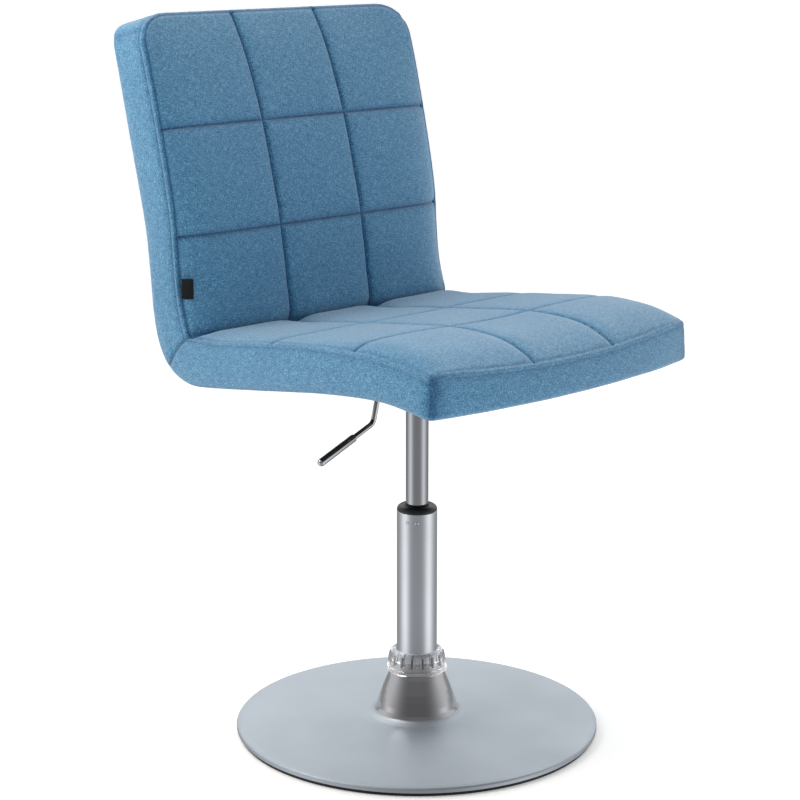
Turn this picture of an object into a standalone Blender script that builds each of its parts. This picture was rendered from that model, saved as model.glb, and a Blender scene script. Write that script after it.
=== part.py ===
"""Upholstered swivel chair on a round trumpet base with a gas lift.

Units are metres, +Z is up and the chair faces -Y.  The origin is on the
column's axis at floor level.  The chair is modelled with the lift fully
raised.  A sitter's right-hand side is -X, which is where the lever is.
"""
import math

import bmesh
import bpy
from mathutils import Matrix, Vector

# ---------------------------------------------------------------- dimensions
# base
DISC_R = 0.2250            # trumpet disc, outer radius
DISC_SHEET = 0.0016        # pressed sheet thickness
PAD_R = 0.2222             # floor pad radius
PAD_H = 0.0042             # floor pad height
BALLAST_R = 0.2000
BALLAST_Z = (0.0046, 0.0091)
HUB_FLANGE_Z = (0.0094, 0.0124)
HUB_FLANGE_R = 0.0550
HUB_TOP_Z = 0.0730
HUB_SCREW_PCD_R = 0.0420

# column
TUBE_R = 0.0250            # 50 mm gas lift column tube
TUBE_WALL = 0.0015
TUBE_Z = (0.0300, 0.2810)
TUBE_TAPER_Z = 0.0800      # the tube tapers below this height
TUBE_FOOT_R = 0.0238
BUSH_TOP_Z = 0.2880
BUSH_FOOT_Z = 0.2150
CYL_R = 0.0140             # 28 mm gas cylinder
CYL_BORE_R = 0.0115
CYL_Z = (0.2000, 0.4400)
CYL_TAPER_Z = 0.4040
CYL_HEAD_R = 0.0131
ROD_R = 0.0050             # 10 mm piston rod
STROKE = 0.1100

# mechanism
TILT = math.radians(6.73)  # the seat pan rises this much towards the front
PLATE_C = Vector((0.0, 0.0150, 0.46555))   # middle of the plate's top face
PLATE_SIZE = (0.150, 0.170, 0.0025)
PLATE_HOLES = (0.060, 0.066)
CHANNEL_HALF_Y = 0.0225
CHANNEL_HALF_X = 0.0500
CHANNEL_Z = 0.4250
CHANNEL_T = 0.0025
SOCKET_R = 0.0185
SOCKET_Z = (0.4095, 0.4370)
LEVER_PIVOT = Vector((-0.0360, 0.0, 0.4520))
LEVER_ROD_R = 0.0032
GRIP_R = 0.0048

# seat
COVER_HALF_W = 0.2225      # inner face of the side borders
FABRIC = 0.0020            # cover fabric with its fleece backing
GAP = 0.0003               # room between neighbouring pieces
PLY_IN = 0.0040            # shell lies this far inside the cover's outline
PLY_T = 0.0120             # bent plywood
# side profile of the upholstery, (Y, Z): the back's front face, top to crease
BACK_FACE = [(0.2402, 0.8772), (0.2215, 0.8260), (0.1990, 0.7350),
             (0.1815, 0.6500), (0.1755, 0.6000), (0.1680, 0.5480),
             (0.1570, 0.5060)]
# the seat's top face, crease to front edge
SEAT_FACE = [(0.1570, 0.5060), (0.1040, 0.5090), (0.0290, 0.5187),
             (-0.0565, 0.5273), (-0.1300, 0.5292), (-0.1900, 0.5252),
             (-0.2270, 0.5180), (-0.2490, 0.5140)]
# the rear face and the underside, top to front edge
REAR_FACE = [(0.2880, 0.8620), (0.2785, 0.8230), (0.2620, 0.7500),
             (0.2350, 0.6383), (0.2270, 0.5800), (0.2215, 0.5250),
             (0.2110, 0.4890), (0.1930, 0.4640), (0.1640, 0.4505),
             (0.1290, 0.4498), (0.0334, 0.4612), (-0.0660, 0.4729),
             (-0.1500, 0.4785), (-0.2000, 0.4745), (-0.2340, 0.4690),
             (-0.2535, 0.4682)]
TOP_R = 0.0420             # the back's two top corners, at the front seam
TOP_REAR_R = 0.0190        # and at the rear
BOW = 0.0210               # the seat's front edge is bowed forward this much

# ---------------------------------------------------------------- scene setup
for old in list(bpy.data.objects):
    bpy.data.objects.remove(old, do_unlink=True)

CHAIR = bpy.data.collections.new("swivel_chair")
CUTS = bpy.data.collections.new("cutters")
bpy.context.scene.collection.children.link(CHAIR)
bpy.context.scene.collection.children.link(CUTS)

COLOURS = {
    "fabric_light": ((0.155, 0.300, 0.440), 0.90, 0.0),
    "fabric_dark": ((0.080, 0.190, 0.320), 0.90, 0.0),
    "chrome": ((0.66, 0.69, 0.72), 0.22, 1.0),
    "clear": ((0.80, 0.80, 0.82), 0.15, 0.0),
    "black": ((0.012, 0.012, 0.014), 0.50, 0.0),
    "rubber": ((0.015, 0.015, 0.015), 0.80, 0.0),
    "steel": ((0.42, 0.43, 0.45), 0.40, 0.9),
    "black_steel": ((0.020, 0.020, 0.022), 0.45, 0.3),
    "iron": ((0.10, 0.10, 0.11), 0.60, 0.7),
    "ply": ((0.52, 0.37, 0.21), 0.65, 0.0),
    "foam": ((0.78, 0.74, 0.62), 0.90, 0.0),
    "cloth_black": ((0.012, 0.012, 0.012), 0.95, 0.0),
}


def paint(ob, key):
    colour, rough, metal = COLOURS[key]
    mat = bpy.data.materials.new(ob.name + "_finish")
    mat.use_nodes = True
    shader = mat.node_tree.nodes["Principled BSDF"]
    shader.inputs["Base Color"].default_value = (*colour, 1.0)
    shader.inputs["Roughness"].default_value = rough
    shader.inputs["Metallic"].default_value = metal
    ob.data.materials.clear()
    ob.data.materials.append(mat)


def add_object(name, mesh, key=None, coll=CHAIR):
    ob = bpy.data.objects.new(name, mesh)
    coll.objects.link(ob)
    if key:
        paint(ob, key)
    return ob


def hide_cutter(ob):
    ob.hide_render = True
    ob.display_type = 'WIRE'


def smooth(mesh, angle=32):
    mesh.shade_smooth()
    mesh.set_sharp_from_angle(angle=math.radians(angle))


def keep_mesh(ob):
    """Turn an object with modifiers, or a curve, into a plain welded mesh."""
    bpy.context.view_layer.update()
    deps = bpy.context.evaluated_depsgraph_get()
    mesh = bpy.data.meshes.new_from_object(ob.evaluated_get(deps))
    work = bmesh.new()
    work.from_mesh(mesh)
    bmesh.ops.remove_doubles(work, verts=work.verts, dist=0.00002)
    bmesh.ops.recalc_face_normals(work, faces=work.faces)
    work.to_mesh(mesh)
    work.free()
    return mesh


# ---------------------------------------------------------------- shape tools
def turned(name, profile, key, sides=32, coll=CHAIR, closed=True):
    """A solid of revolution about Z.  The profile is (radius, height) and runs
    down its outer side; a closed one comes back up its inner side, and an open
    one starts and ends on the axis."""
    mesh = bpy.data.meshes.new(name)
    verts = [(r, 0.0, z) for r, z in profile]
    edges = [(i, i + 1) for i in range(len(verts) - 1)]
    if closed:
        edges.append((len(verts) - 1, 0))
    mesh.from_pydata(verts, edges, [])
    ob = add_object(name, mesh, key, coll)
    screw = ob.modifiers.new("turn", 'SCREW')
    screw.axis = 'Z'
    screw.angle = 2 * math.pi
    screw.steps = sides
    screw.render_steps = sides
    screw.use_merge_vertices = True
    screw.merge_threshold = 0.00001
    screw.use_smooth_shade = True
    return ob


def cylinder_cutter(name, r, z0, z1, at=(0, 0), sides=24, frame=None):
    bpy.ops.mesh.primitive_cylinder_add(vertices=sides, radius=r, depth=z1 - z0,
                                        location=(0, 0, 0))
    ob = bpy.context.active_object
    ob.name = name
    ob.data.transform(Matrix.Translation((0, 0, (z0 + z1) / 2)))
    for c in list(ob.users_collection):
        c.objects.unlink(ob)
    CUTS.objects.link(ob)
    if frame is None:
        ob.location = (at[0], at[1], 0)
    else:
        ob.matrix_world = frame @ Matrix.Translation((at[0], at[1], 0))
    hide_cutter(ob)
    return ob


def cut(ob, cutter, op='DIFFERENCE'):
    boolean = ob.modifiers.new(op.lower(), 'BOOLEAN')
    boolean.operation = op
    boolean.solver = 'EXACT'
    boolean.object = cutter
    return boolean


def box(name, size, at, key, bevel=0.0, rot=(0, 0, 0), coll=CHAIR):
    bpy.ops.mesh.primitive_cube_add(size=1.0, location=(0, 0, 0))
    ob = bpy.context.active_object
    ob.name = name
    ob.data.transform(Matrix.Diagonal((size[0], size[1], size[2], 1.0)))
    for c in list(ob.users_collection):
        c.objects.unlink(ob)
    coll.objects.link(ob)
    ob.location = at
    ob.rotation_euler = rot
    if key:
        paint(ob, key)
    if bevel:
        b = ob.modifiers.new("edge", 'BEVEL')
        b.width = bevel
        b.segments = 2
        b.limit_method = 'ANGLE'
    return ob


# a flat outline drawn in (Y, Z) and given its thickness along X
SIDE_VIEW = Matrix(((0, 0, 1, 0), (1, 0, 0, 0), (0, 1, 0, 0), (0, 0, 0, 1)))


def side_outline(name, outline, x0, x1, key, coll=CHAIR):
    curve = bpy.data.curves.new(name + "_outline", 'CURVE')
    curve.dimensions = '2D'
    curve.fill_mode = 'BOTH'
    curve.extrude = (x1 - x0) / 2
    spline = curve.splines.new('POLY')
    spline.points.add(len(outline) - 1)
    for point, (y, z) in zip(spline.points, outline):
        point.co = (y, z, 0.0, 1.0)
    spline.use_cyclic_u = True
    guide = bpy.data.objects.new(name + "_outline", curve)
    CUTS.objects.link(guide)
    mesh = keep_mesh(guide)
    bpy.data.objects.remove(guide, do_unlink=True)
    mesh.transform(Matrix.Translation(((x0 + x1) / 2, 0, 0)) @ SIDE_VIEW)
    mesh.name = name
    ob = add_object(name, mesh, key, coll)
    return ob


def rounded(points, steps):
    """A smooth line through the points (Catmull-Rom), steps per span."""
    pts = [Vector(p) for p in points]
    pts = [2 * pts[0] - pts[1]] + pts + [2 * pts[-1] - pts[-2]]
    line = []
    for i in range(1, len(pts) - 2):
        p0, p1, p2, p3 = pts[i - 1], pts[i], pts[i + 1], pts[i + 2]
        for s in range(steps):
            t = s / steps
            line.append(0.5 * ((2 * p1) + (p2 - p0) * t
                               + (2 * p0 - 5 * p1 + 4 * p2 - p3) * t * t
                               + (3 * p1 - p0 - 3 * p2 + p3) * t ** 3))
    line.append(pts[-2])
    return line


def beside(line, distance):
    """The line moved sideways by a distance, to the right of its direction."""
    out = []
    for i, p in enumerate(line):
        a = line[max(i - 1, 0)]
        b = line[min(i + 1, len(line) - 1)]
        d = (b - a).normalized()
        out.append(p + Vector((d.y, -d.x)) * distance)
    return out


def strip(a, b):
    return [tuple(p) for p in a] + [tuple(p) for p in reversed(b)]


def clip(line, axis, low=None, high=None):
    """The stretch of a line between two values of one coordinate, with its
    ends cut exactly at them."""
    def inside(v):
        return (low is None or v >= low) and (high is None or v <= high)
    out = []
    for i, p in enumerate(line):
        if i:
            q = line[i - 1]
            for edge in (low, high):
                if edge is not None and (q[axis] - edge) * (p[axis] - edge) < 0:
                    t = (edge - q[axis]) / (p[axis] - q[axis])
                    out.append(q.lerp(p, t))
        if inside(p[axis]):
            out.append(p)
    return out


# ---------------------------------------------------------------- the base
# bell of the base: outer profile from the lip at the column to the rim
bell = [(0.0268, 0.0886), (0.0300, 0.0795), (0.0339, 0.0703), (0.0374, 0.0620),
        (0.0408, 0.0535), (0.0446, 0.0450), (0.0476, 0.0370), (0.0500, 0.0300),
        (0.0540, 0.0240), (0.0600, 0.0202), (0.0700, 0.0184), (0.1000, 0.0167),
        (0.1500, 0.0142), (0.2050, 0.0117), (0.2232, 0.0108), (DISC_R, 0.0095),
        (DISC_R, 0.0046)]
bell_v = [Vector(p) for p in bell]
bell_in = [tuple(p) for p in beside(bell_v, DISC_SHEET)]
bell_in[-1] = (DISC_R - DISC_SHEET, 0.0046)
bell_in[-2] = (DISC_R - DISC_SHEET, 0.0088)
bell_in[-3] = (DISC_R - 2.2 * DISC_SHEET, 0.0093)
bell_in[0] = (0.0254, 0.0880)
bell_in = [p for i, p in enumerate(bell_in) if i not in (2, 4, 6, 10, 12)]
turned("base_disc", bell + bell_in[::-1], "chrome", sides=44)

turned("floor_pad", [(0.0, PAD_H), (PAD_R - 0.0006, PAD_H), (PAD_R, PAD_H - 0.0006),
                     (PAD_R, 0.0006), (PAD_R - 0.0006, 0.0), (0.0, 0.0)],
       "rubber", sides=48, closed=False)

ballast = turned("ballast_plate", [(0.0260, BALLAST_Z[1]), (BALLAST_R, BALLAST_Z[1]),
                                   (BALLAST_R, BALLAST_Z[0]), (0.0260, BALLAST_Z[0])],
                 "iron", sides=40)

hub = turned("hub_socket",
             [(0.0254, HUB_TOP_Z), (0.0281, HUB_TOP_Z), (0.0286, HUB_FLANGE_Z[1] + 0.003),
              (0.0315, HUB_FLANGE_Z[1]), (HUB_FLANGE_R, HUB_FLANGE_Z[1]),
              (HUB_FLANGE_R, HUB_FLANGE_Z[0]), (0.0240, HUB_FLANGE_Z[0]),
              (0.0240, 0.0290)],
             "steel", sides=32)

# four screws from below, through the ballast plate into the hub's flange
screw_profile = [(0.0, 0.0122), (0.0034, 0.0122), (0.0034, 0.0078), (0.0064, 0.0048),
                 (0.0064, 0.00475), (0.0, 0.00475)]
screw_clear = [(0.0, 0.0130), (0.0038, 0.0130), (0.0038, 0.0081), (0.0069, 0.0049),
               (0.0069, 0.0035), (0.0, 0.0035)]
for n in range(4):
    a = math.radians(45 + 90 * n)
    at = (HUB_SCREW_PCD_R * math.cos(a), HUB_SCREW_PCD_R * math.sin(a), 0)
    s = turned("hub_screw_%d" % (n + 1), screw_profile, "steel", sides=12, closed=False)
    s.location = at
    c = turned("hub_screw_hole_%d" % (n + 1), screw_clear, None, sides=16,
               coll=CUTS, closed=False)
    c.location = at
    hide_cutter(c)
    cut(ballast, c)
    cut(hub, c)

# clear snap ring that covers the joint between bell and column
turned("collar_ring",
       [(0.0262, 0.1030), (0.0300, 0.1026), (0.0322, 0.1005), (0.0335, 0.0960),
        (0.0350, 0.0830), (0.0372, 0.0805), (0.0374, 0.0770), (0.0362, 0.0755),
        (0.0332, 0.0755), (0.0310, 0.0815), (0.0278, 0.0892), (0.0254, 0.0900),
        (0.0254, 0.1022)], "clear", sides=32)

# ---------------------------------------------------------------- the column
turned("column_tube",
       [(TUBE_R - TUBE_WALL, TUBE_Z[1]), (TUBE_R - 0.0004, TUBE_Z[1]),
        (TUBE_R, TUBE_Z[1] - 0.0004), (TUBE_R, TUBE_TAPER_Z),
        (TUBE_FOOT_R - 0.0001, TUBE_Z[0]), (0.0064, TUBE_Z[0]), (0.0064, TUBE_Z[0] + 0.003),
        (TUBE_FOOT_R - TUBE_WALL, TUBE_Z[0] + 0.003),
        (TUBE_R - TUBE_WALL, TUBE_TAPER_Z)], "chrome", sides=32)

turned("guide_bush",
       [(CYL_R + 0.0004, BUSH_TOP_Z - 0.0010), (0.0165, BUSH_TOP_Z), (0.0218, BUSH_TOP_Z - 0.0012),
        (0.0244, BUSH_TOP_Z - 0.0032), (0.0247, TUBE_Z[1] + GAP), (0.0231, TUBE_Z[1] + GAP),
        (0.0231, BUSH_FOOT_Z), (CYL_R + 0.0004, BUSH_FOOT_Z)], "black", sides=32)


def ring(name, r0, r1, z0, z1, key, sides=24):
    return turned(name, [(r0, z1), (r1, z1), (r1, z0), (r0, z0)], key, sides=sides)


floor_z = TUBE_Z[0] + 0.003
ring("lower_race", 0.0064, 0.0115, floor_z + 0.0003, floor_z + 0.0021, "steel")
turned("ball_cage", [(0.0068, floor_z + 0.0060), (0.0110, floor_z + 0.0060),
                     (0.0114, floor_z + 0.0042), (0.0110, floor_z + 0.0024),
                     (0.0068, floor_z + 0.0024), (0.0064, floor_z + 0.0042)],
       "steel", sides=24)
ring("upper_race", 0.0054, 0.0115, floor_z + 0.0063, floor_z + 0.0081, "steel")
rod_shoulder_z = floor_z + 0.0084
turned("piston_rod",
       [(0.0, 0.2084), (ROD_R - 0.0006, 0.2084), (ROD_R - 0.0006, 0.2010 + 0.0060),
        (ROD_R, 0.2010 + 0.0054), (ROD_R, rod_shoulder_z + 0.0030),
        (0.0086, rod_shoulder_z + 0.0030), (0.0086, rod_shoulder_z),
        (ROD_R, rod_shoulder_z - 0.0001), (ROD_R, 0.0284), (0.0041, 0.0283),
        (0.0041, 0.0263), (ROD_R, 0.0262), (ROD_R, 0.0232), (ROD_R - 0.0010, 0.0222),
        (0.0, 0.0222)], "steel", sides=20, closed=False)
ring("rod_clip", 0.0044, 0.0088, 0.0267, 0.0279, "steel")
turned("rubber_bumper",
       [(0.0054, rod_shoulder_z + 0.0180), (0.0110, rod_shoulder_z + 0.0180),
        (0.0130, rod_shoulder_z + 0.0140), (0.0130, rod_shoulder_z + 0.0034),
        (0.0054, rod_shoulder_z + 0.0034)], "rubber", sides=24)
turned("piston_head", [(0.0, 0.2210), (0.0100, 0.2210), (0.0108, 0.2200), (0.0108, 0.2096),
                       (0.0100, 0.2087), (0.0, 0.2087)], "steel", sides=24, closed=False)

turned("gas_cylinder",
       [(0.0036, CYL_Z[1]), (CYL_HEAD_R - 0.0008, CYL_Z[1]), (CYL_HEAD_R, CYL_Z[1] - 0.0010),
        (CYL_R, CYL_TAPER_Z), (CYL_R, CYL_Z[0] + 0.0012), (CYL_R - 0.0010, CYL_Z[0]),
        (0.0078, CYL_Z[0]), (0.0078, CYL_Z[0] + 0.0015), (CYL_BORE_R, CYL_Z[0] + 0.0015),
        (CYL_BORE_R, 0.4180), (0.0090, 0.4240), (0.0036, 0.4240)], "chrome", sides=32)
ring("rod_guide", ROD_R + 0.0004, CYL_BORE_R - 0.0003, CYL_Z[0] + 0.0018,
     CYL_Z[0] + 0.0070, "black")
turned("release_pin", [(0.0, 0.4468), (0.0026, 0.4468), (0.0031, 0.4462), (0.0031, 0.4256),
                       (0.0, 0.4256)], "steel", sides=16, closed=False)

# ---------------------------------------------------------------- mechanism
plate_frame = Matrix.Translation(PLATE_C) @ Matrix.Rotation(-TILT, 4, 'X')
tilt_euler = (-TILT, 0, 0)
plate_mid = PLATE_C - plate_frame.to_3x3() @ Vector((0, 0, PLATE_SIZE[2] / 2))

bpy.ops.mesh.primitive_cube_add(size=1.0, location=(0, 0, 0))
plate = bpy.context.active_object
plate.name = "seat_plate"
plate.data.transform(Matrix.Diagonal((*PLATE_SIZE, 1.0)))
work = bmesh.new()
work.from_mesh(plate.data)
upright = [e for e in work.edges
           if abs(e.verts[0].co.z - e.verts[1].co.z) > PLATE_SIZE[2] / 2]
bmesh.ops.bevel(work, geom=upright, offset=0.014, segments=4, affect='EDGES')
work.to_mesh(plate.data)
work.free()
for c in list(plate.users_collection):
    c.objects.unlink(plate)
CHAIR.objects.link(plate)
plate.location = plate_mid
plate.rotation_euler = tilt_euler
paint(plate, "black_steel")

# the channel that carries the socket and the lever, cut to the plate's slope
t = CHANNEL_T
hw = CHANNEL_HALF_Y
channel = side_outline("lever_channel",
                       [(-hw, 0.485), (-hw, CHANNEL_Z), (hw, CHANNEL_Z), (hw, 0.485),
                        (hw - t, 0.485), (hw - t, CHANNEL_Z + t), (-hw + t, CHANNEL_Z + t),
                        (-hw + t, 0.485)],
                       -CHANNEL_HALF_X, CHANNEL_HALF_X, "black_steel")
above = box("channel_top_cut", (0.2, 0.2, 0.06), (0, 0, 0), None, coll=CUTS)
above.matrix_world = plate_frame @ Matrix.Translation((0, 0, 0.03 - PLATE_SIZE[2] - GAP))
hide_cutter(above)
cut(channel, above)
cut(channel, cylinder_cutter("socket_hole", SOCKET_R + 0.0003, 0.41, 0.434, sides=32))
turned("taper_socket",
       [(CYL_HEAD_R + 0.0004, SOCKET_Z[1]), (SOCKET_R, SOCKET_Z[1]),
        (SOCKET_R, SOCKET_Z[0] + 0.0006), (SOCKET_R - 0.0006, SOCKET_Z[0]),
        (CYL_R + 0.0003, SOCKET_Z[0])], "black_steel", sides=32)

# lever: flat paddle on a pivot pin, then a bent rod with a thicker grip
pin_turn = Matrix.Rotation(math.radians(90), 4, 'X')
pivot_pin = turned("pivot_pin", [(0.0, 0.0262), (0.0034, 0.0262), (0.0034, 0.0240),
                                 (0.0020, 0.0239), (0.0020, -0.0258), (0.0, -0.0258)],
                   "steel", sides=16, closed=False)
pivot_pin.matrix_world = Matrix.Translation(LEVER_PIVOT) @ pin_turn
pin_hole = cylinder_cutter("pivot_hole", 0.0023, -0.03, 0.03, sides=16,
                           frame=Matrix.Translation(LEVER_PIVOT) @ pin_turn)
cut(channel, pin_hole)

lever_axis = bpy.data.objects.new("lever_axis", None)
lever_axis.location = LEVER_PIVOT
CHAIR.objects.link(lever_axis)


def lever_route():
    """Centre line of the lever's rod in the plane of the column's axis."""
    corners = [Vector((-0.0470, 0.4520)), Vector((-0.0630, 0.4520)),
               Vector((-0.0762, 0.4030)), Vector((-0.1340, 0.3812))]
    radius = (0.0080, 0.0110)
    line = [corners[0]]
    for k in (1, 2):
        a = (corners[k - 1] - corners[k]).normalized()
        b = (corners[k + 1] - corners[k]).normalized()
        half = a.angle(b) / 2
        back = radius[k - 1] / math.tan(half)
        p, q = corners[k] + a * back, corners[k] + b * back
        centre = corners[k] + (a + b).normalized() * (radius[k - 1] / math.sin(half))
        for s in range(7):
            u = s / 6
            v = ((p - centre).lerp(q - centre, u)).normalized() * radius[k - 1]
            line.append(centre + v)
    line.append(corners[-1])
    return line


route = lever_route()
curve = bpy.data.curves.new("lever_rod_route", 'CURVE')
curve.dimensions = '3D'
curve.bevel_depth = LEVER_ROD_R
curve.bevel_resolution = 2
curve.use_fill_caps = True
spline = curve.splines.new('POLY')
spline.points.add(len(route) - 1)
for point, (x, z) in zip(spline.points, route):
    point.co = (x, 0.0, z, 1.0)
guide = bpy.data.objects.new("lever_rod_route", curve)
CUTS.objects.link(guide)
rod_mesh = keep_mesh(guide)
bpy.data.objects.remove(guide, do_unlink=True)
rod_tube = add_object("lever_rod_tube", rod_mesh, None, CUTS)
hide_cutter(rod_tube)
paddle = box("lever_rod", (0.0540, 0.0110, 0.0086), (0, 0, 0), "chrome")
paddle.data.transform(Matrix.Translation((0.0145 - 0.0, 0, 0)))
paddle.parent = lever_axis
cut(paddle, rod_tube, 'UNION')
cut(paddle, pin_hole)

# the grip slides over the end of the rod, rounded at its tip
end_dir = (route[-1] - route[-2]).normalized()
grip_at = route[-1] - end_dir * 0.0280
grip_len = 0.0620
tip = [(0.0, grip_len)]
grip_profile = [(0.0, grip_len)]
for s in range(1, 5):
    a = math.radians(90 - 22.5 * s)
    grip_profile.append((GRIP_R * math.cos(a), grip_len - GRIP_R + GRIP_R * math.sin(a)))
grip_profile += [(GRIP_R, 0.0008), (GRIP_R - 0.0008, 0.0), (LEVER_ROD_R + 0.0003, 0.0),
                 (LEVER_ROD_R + 0.0003, 0.0290), (0.0, 0.0290)]
grip = turned("lever_grip", grip_profile, "chrome", sides=16, closed=False)
z_axis = Vector((end_dir.x, 0, end_dir.y))
grip.matrix_world = Matrix.Translation((grip_at.x, 0, grip_at.y)) \
    @ z_axis.to_track_quat('Z', 'Y').to_matrix().to_4x4()

# ---------------------------------------------------------------- the seat
back_face = rounded(BACK_FACE, 3)
seat_face = rounded(SEAT_FACE, 3)
rear_face = rounded(REAR_FACE, 3)

top_a, top_b = Vector(BACK_FACE[0]), Vector(REAR_FACE[0])
up = Vector((top_a.y - top_b.y, top_b.x - top_a.x)).normalized()
deep = (top_b - top_a).normalized()
front_a, front_b = Vector(SEAT_FACE[-1]), Vector(REAR_FACE[-1])
BOW_R = (COVER_HALF_W ** 2 + BOW ** 2) / (2 * BOW)


def loft(name, sections):
    """A cutter through several closed outlines with as many points each."""
    n = len(sections[0])
    verts = [v for section in sections for v in section]
    faces = [tuple(range(n)), tuple(reversed(range(len(verts) - n, len(verts))))]
    for k in range(len(sections) - 1):
        a, b = k * n, (k + 1) * n
        faces += [(a + i, b + i, b + (i + 1) % n, a + (i + 1) % n) for i in range(n)]
    mesh = bpy.data.meshes.new(name)
    mesh.from_pydata([tuple(v) for v in verts], [], faces)
    fix = bmesh.new()
    fix.from_mesh(mesh)
    bmesh.ops.recalc_face_normals(fix, faces=fix.faces)
    fix.to_mesh(mesh)
    fix.free()
    ob = add_object(name, mesh, None, CUTS)
    hide_cutter(ob)
    return ob


def prism(name, outline, *levels):
    """A closed outline swept through two or more levels.  Each level turns a
    point of the outline into its place there."""
    return loft(name, [[level(p) for p in outline] for level in levels])


def at_depth(d, setback=0.0):
    """Places (x, w) points, w being the height above the back's top edge."""
    def place(p):
        yz = top_a + up * (p[1] - setback) + deep * d
        return (p[0], yz.x, yz.y)
    return place


def rounded_top(name, setback):
    """The inside of the back's outline.  Its two round top corners are tighter
    at the rear than at the front seam."""
    half_w = COVER_HALF_W - setback
    sections = []
    for d, corner in ((-0.520, TOP_R), (0.001, TOP_R), (0.0495, TOP_REAR_R), (0.320, TOP_REAR_R)):
        r = corner - setback
        line = [(-half_w, -0.640)]
        for k in range(9):
            a = math.radians(180 - 11.25 * k)
            line.append((-half_w + r + r * math.cos(a), -r + r * math.sin(a)))
        for k in range(9):
            a = math.radians(90 - 11.25 * k)
            line.append((half_w - r + r * math.cos(a), -r + r * math.sin(a)))
        line.append((half_w, -0.640))
        sections.append([at_depth(d, setback)(p) for p in line])
    return loft(name, sections)


def bow_y(x, z, setback=0.0):
    """How far forward the seat's front edge lies at x and at height z."""
    t = (z - front_a.y) / (front_b.y - front_a.y)
    return front_a.x + (front_b.x - front_a.x) * t + setback \
        + BOW_R - math.sqrt(BOW_R ** 2 - x * x)


def bowed_front(name, setback):
    """Everything behind the seat's bowed front edge."""
    xs = [-0.240 + 0.020 * k for k in range(25)]
    line = [(x, None) for x in xs] + [(0.240, 0.420), (-0.240, 0.420)]

    def level(z):
        def place(p):
            return (p[0], bow_y(p[0], z, setback) if p[1] is None else p[1], z)
        return place
    return prism(name, line, level(0.420), level(0.940))


# bent plywood shell, inside the cover's outline all the way round
shell_low = beside(rear_face, PLY_IN)
shell_high = beside(rear_face, PLY_IN + PLY_T)
shell_low = clip(clip(shell_low, 1, high=0.850), 0, low=-0.2500)
shell_high = clip(clip(shell_high, 1, high=0.850), 0, low=-0.2500)
shell = side_outline("seat_shell", strip(shell_low, shell_high),
                     -COVER_HALF_W + 0.004, COVER_HALF_W - 0.004, "ply")
cut(shell, rounded_top("shell_top", 0.0045), 'INTERSECT')
cut(shell, bowed_front("shell_front", 0.0050), 'INTERSECT')

# the foam blocks meet along a plane that runs in from the crease
crease = Vector(BACK_FACE[-1])
inner_bend = min(shell_high, key=lambda p: (p - Vector((0.215, 0.460))).length)
foam_line = beside(shell_high, 0.0004)
bend_i = min(range(len(foam_line)), key=lambda i: (foam_line[i] - inner_bend).length)
fold = (foam_line[bend_i] - crease).normalized()
side_step = Vector((fold.y, -fold.x)) * 0.0004

back_in = beside(back_face, -(FABRIC + 0.0006))
seat_in = beside(seat_face, -(FABRIC + 0.0006))
back_in = [p for p in back_in if p.y <= 0.869][:-1] + [crease + fold * 0.004 - side_step]
back_rear = [p for p in foam_line[:bend_i] if p.y <= 0.848] + [foam_line[bend_i] - side_step]
back_foam = side_outline("back_foam", strip(back_in, back_rear), -COVER_HALF_W + 0.0008,
                         COVER_HALF_W - 0.0008, "foam")
cut(back_foam, rounded_top("foam_top", 0.0032), 'INTERSECT')
seat_top = [crease + fold * 0.004 + side_step] + [p for p in seat_in[1:] if p.x >= -0.2480]
seat_low = [foam_line[bend_i] + side_step] + [p for p in foam_line[bend_i + 1:] if p.x >= -0.2500]
seat_foam = side_outline("seat_foam", strip(seat_top, seat_low), -COVER_HALF_W + 0.0008,
                         COVER_HALF_W - 0.0008, "foam")
cut(seat_foam, bowed_front("foam_front", 0.0030), 'INTERSECT')

# cover: quilted panels, borders, rear piece, wadding and dust cover
half = COVER_HALF_W - 0.0005
b0, b1 = back_face, beside(back_face, -FABRIC)
back_panel = side_outline("back_panel", strip(b0[:-1] + [crease + Vector((0.0004, 0.0007))],
                                 b1[:-1] + [crease + Vector((0.0026, 0.0004))]),
             -half, half, "fabric_dark")
cut(back_panel, rounded_top("panel_top", 0.0005), 'INTERSECT')
s0, s1 = seat_face, beside(seat_face, -FABRIC)
seat_panel = side_outline("seat_panel", strip([crease + Vector((-0.0004, -0.0003))] + s0[1:],
                                 [crease + Vector((0.0016, -0.0022))] + s1[1:]),
             -half, half, "fabric_light")
cut(seat_panel, bowed_front("panel_front", 0.0003), 'INTERSECT')

rear_in = beside(rear_face, FABRIC)
front_mesh = bpy.data.meshes.new("front_border")
front_verts, front_faces = [], []
steps = 24
for k in range(steps + 1):
    x = -half + 2 * half * k / steps
    lean = Vector((x, math.sqrt(BOW_R ** 2 - x * x)))
    side = Vector((x, -lean.y)).normalized()
    for z, extra in ((0.5143 + 0.0040 * (x / half) ** 2, 0.0), (0.4686, 0.0),
                     (0.4686, FABRIC), (0.5143 + 0.0040 * (x / half) ** 2, FABRIC)):
        front_verts.append((x + side.x * extra, bow_y(x, z, -0.0002) + side.y * extra, z))
for k in range(steps):
    for j in range(4):
        m = (j + 1) % 4
        front_faces.append((4 * k + j, 4 * k + m, 4 * k + 4 + m, 4 * k + 4 + j))
front_faces += [(3, 2, 1, 0), tuple(4 * steps + j for j in range(4))]
front_mesh.from_pydata(front_verts, [], front_faces)
fix = bmesh.new()
fix.from_mesh(front_mesh)
bmesh.ops.recalc_face_normals(fix, faces=fix.faces)
fix.to_mesh(front_mesh)
fix.free()
add_object("front_border", front_mesh, "fabric_light")
wrap_y = 0.150             # the rear piece ends here, under the seat
cover_out = [p for p in rear_face if p.x >= wrap_y or p.y > 0.55]
cover_in = rear_in[:len(cover_out)]
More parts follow.
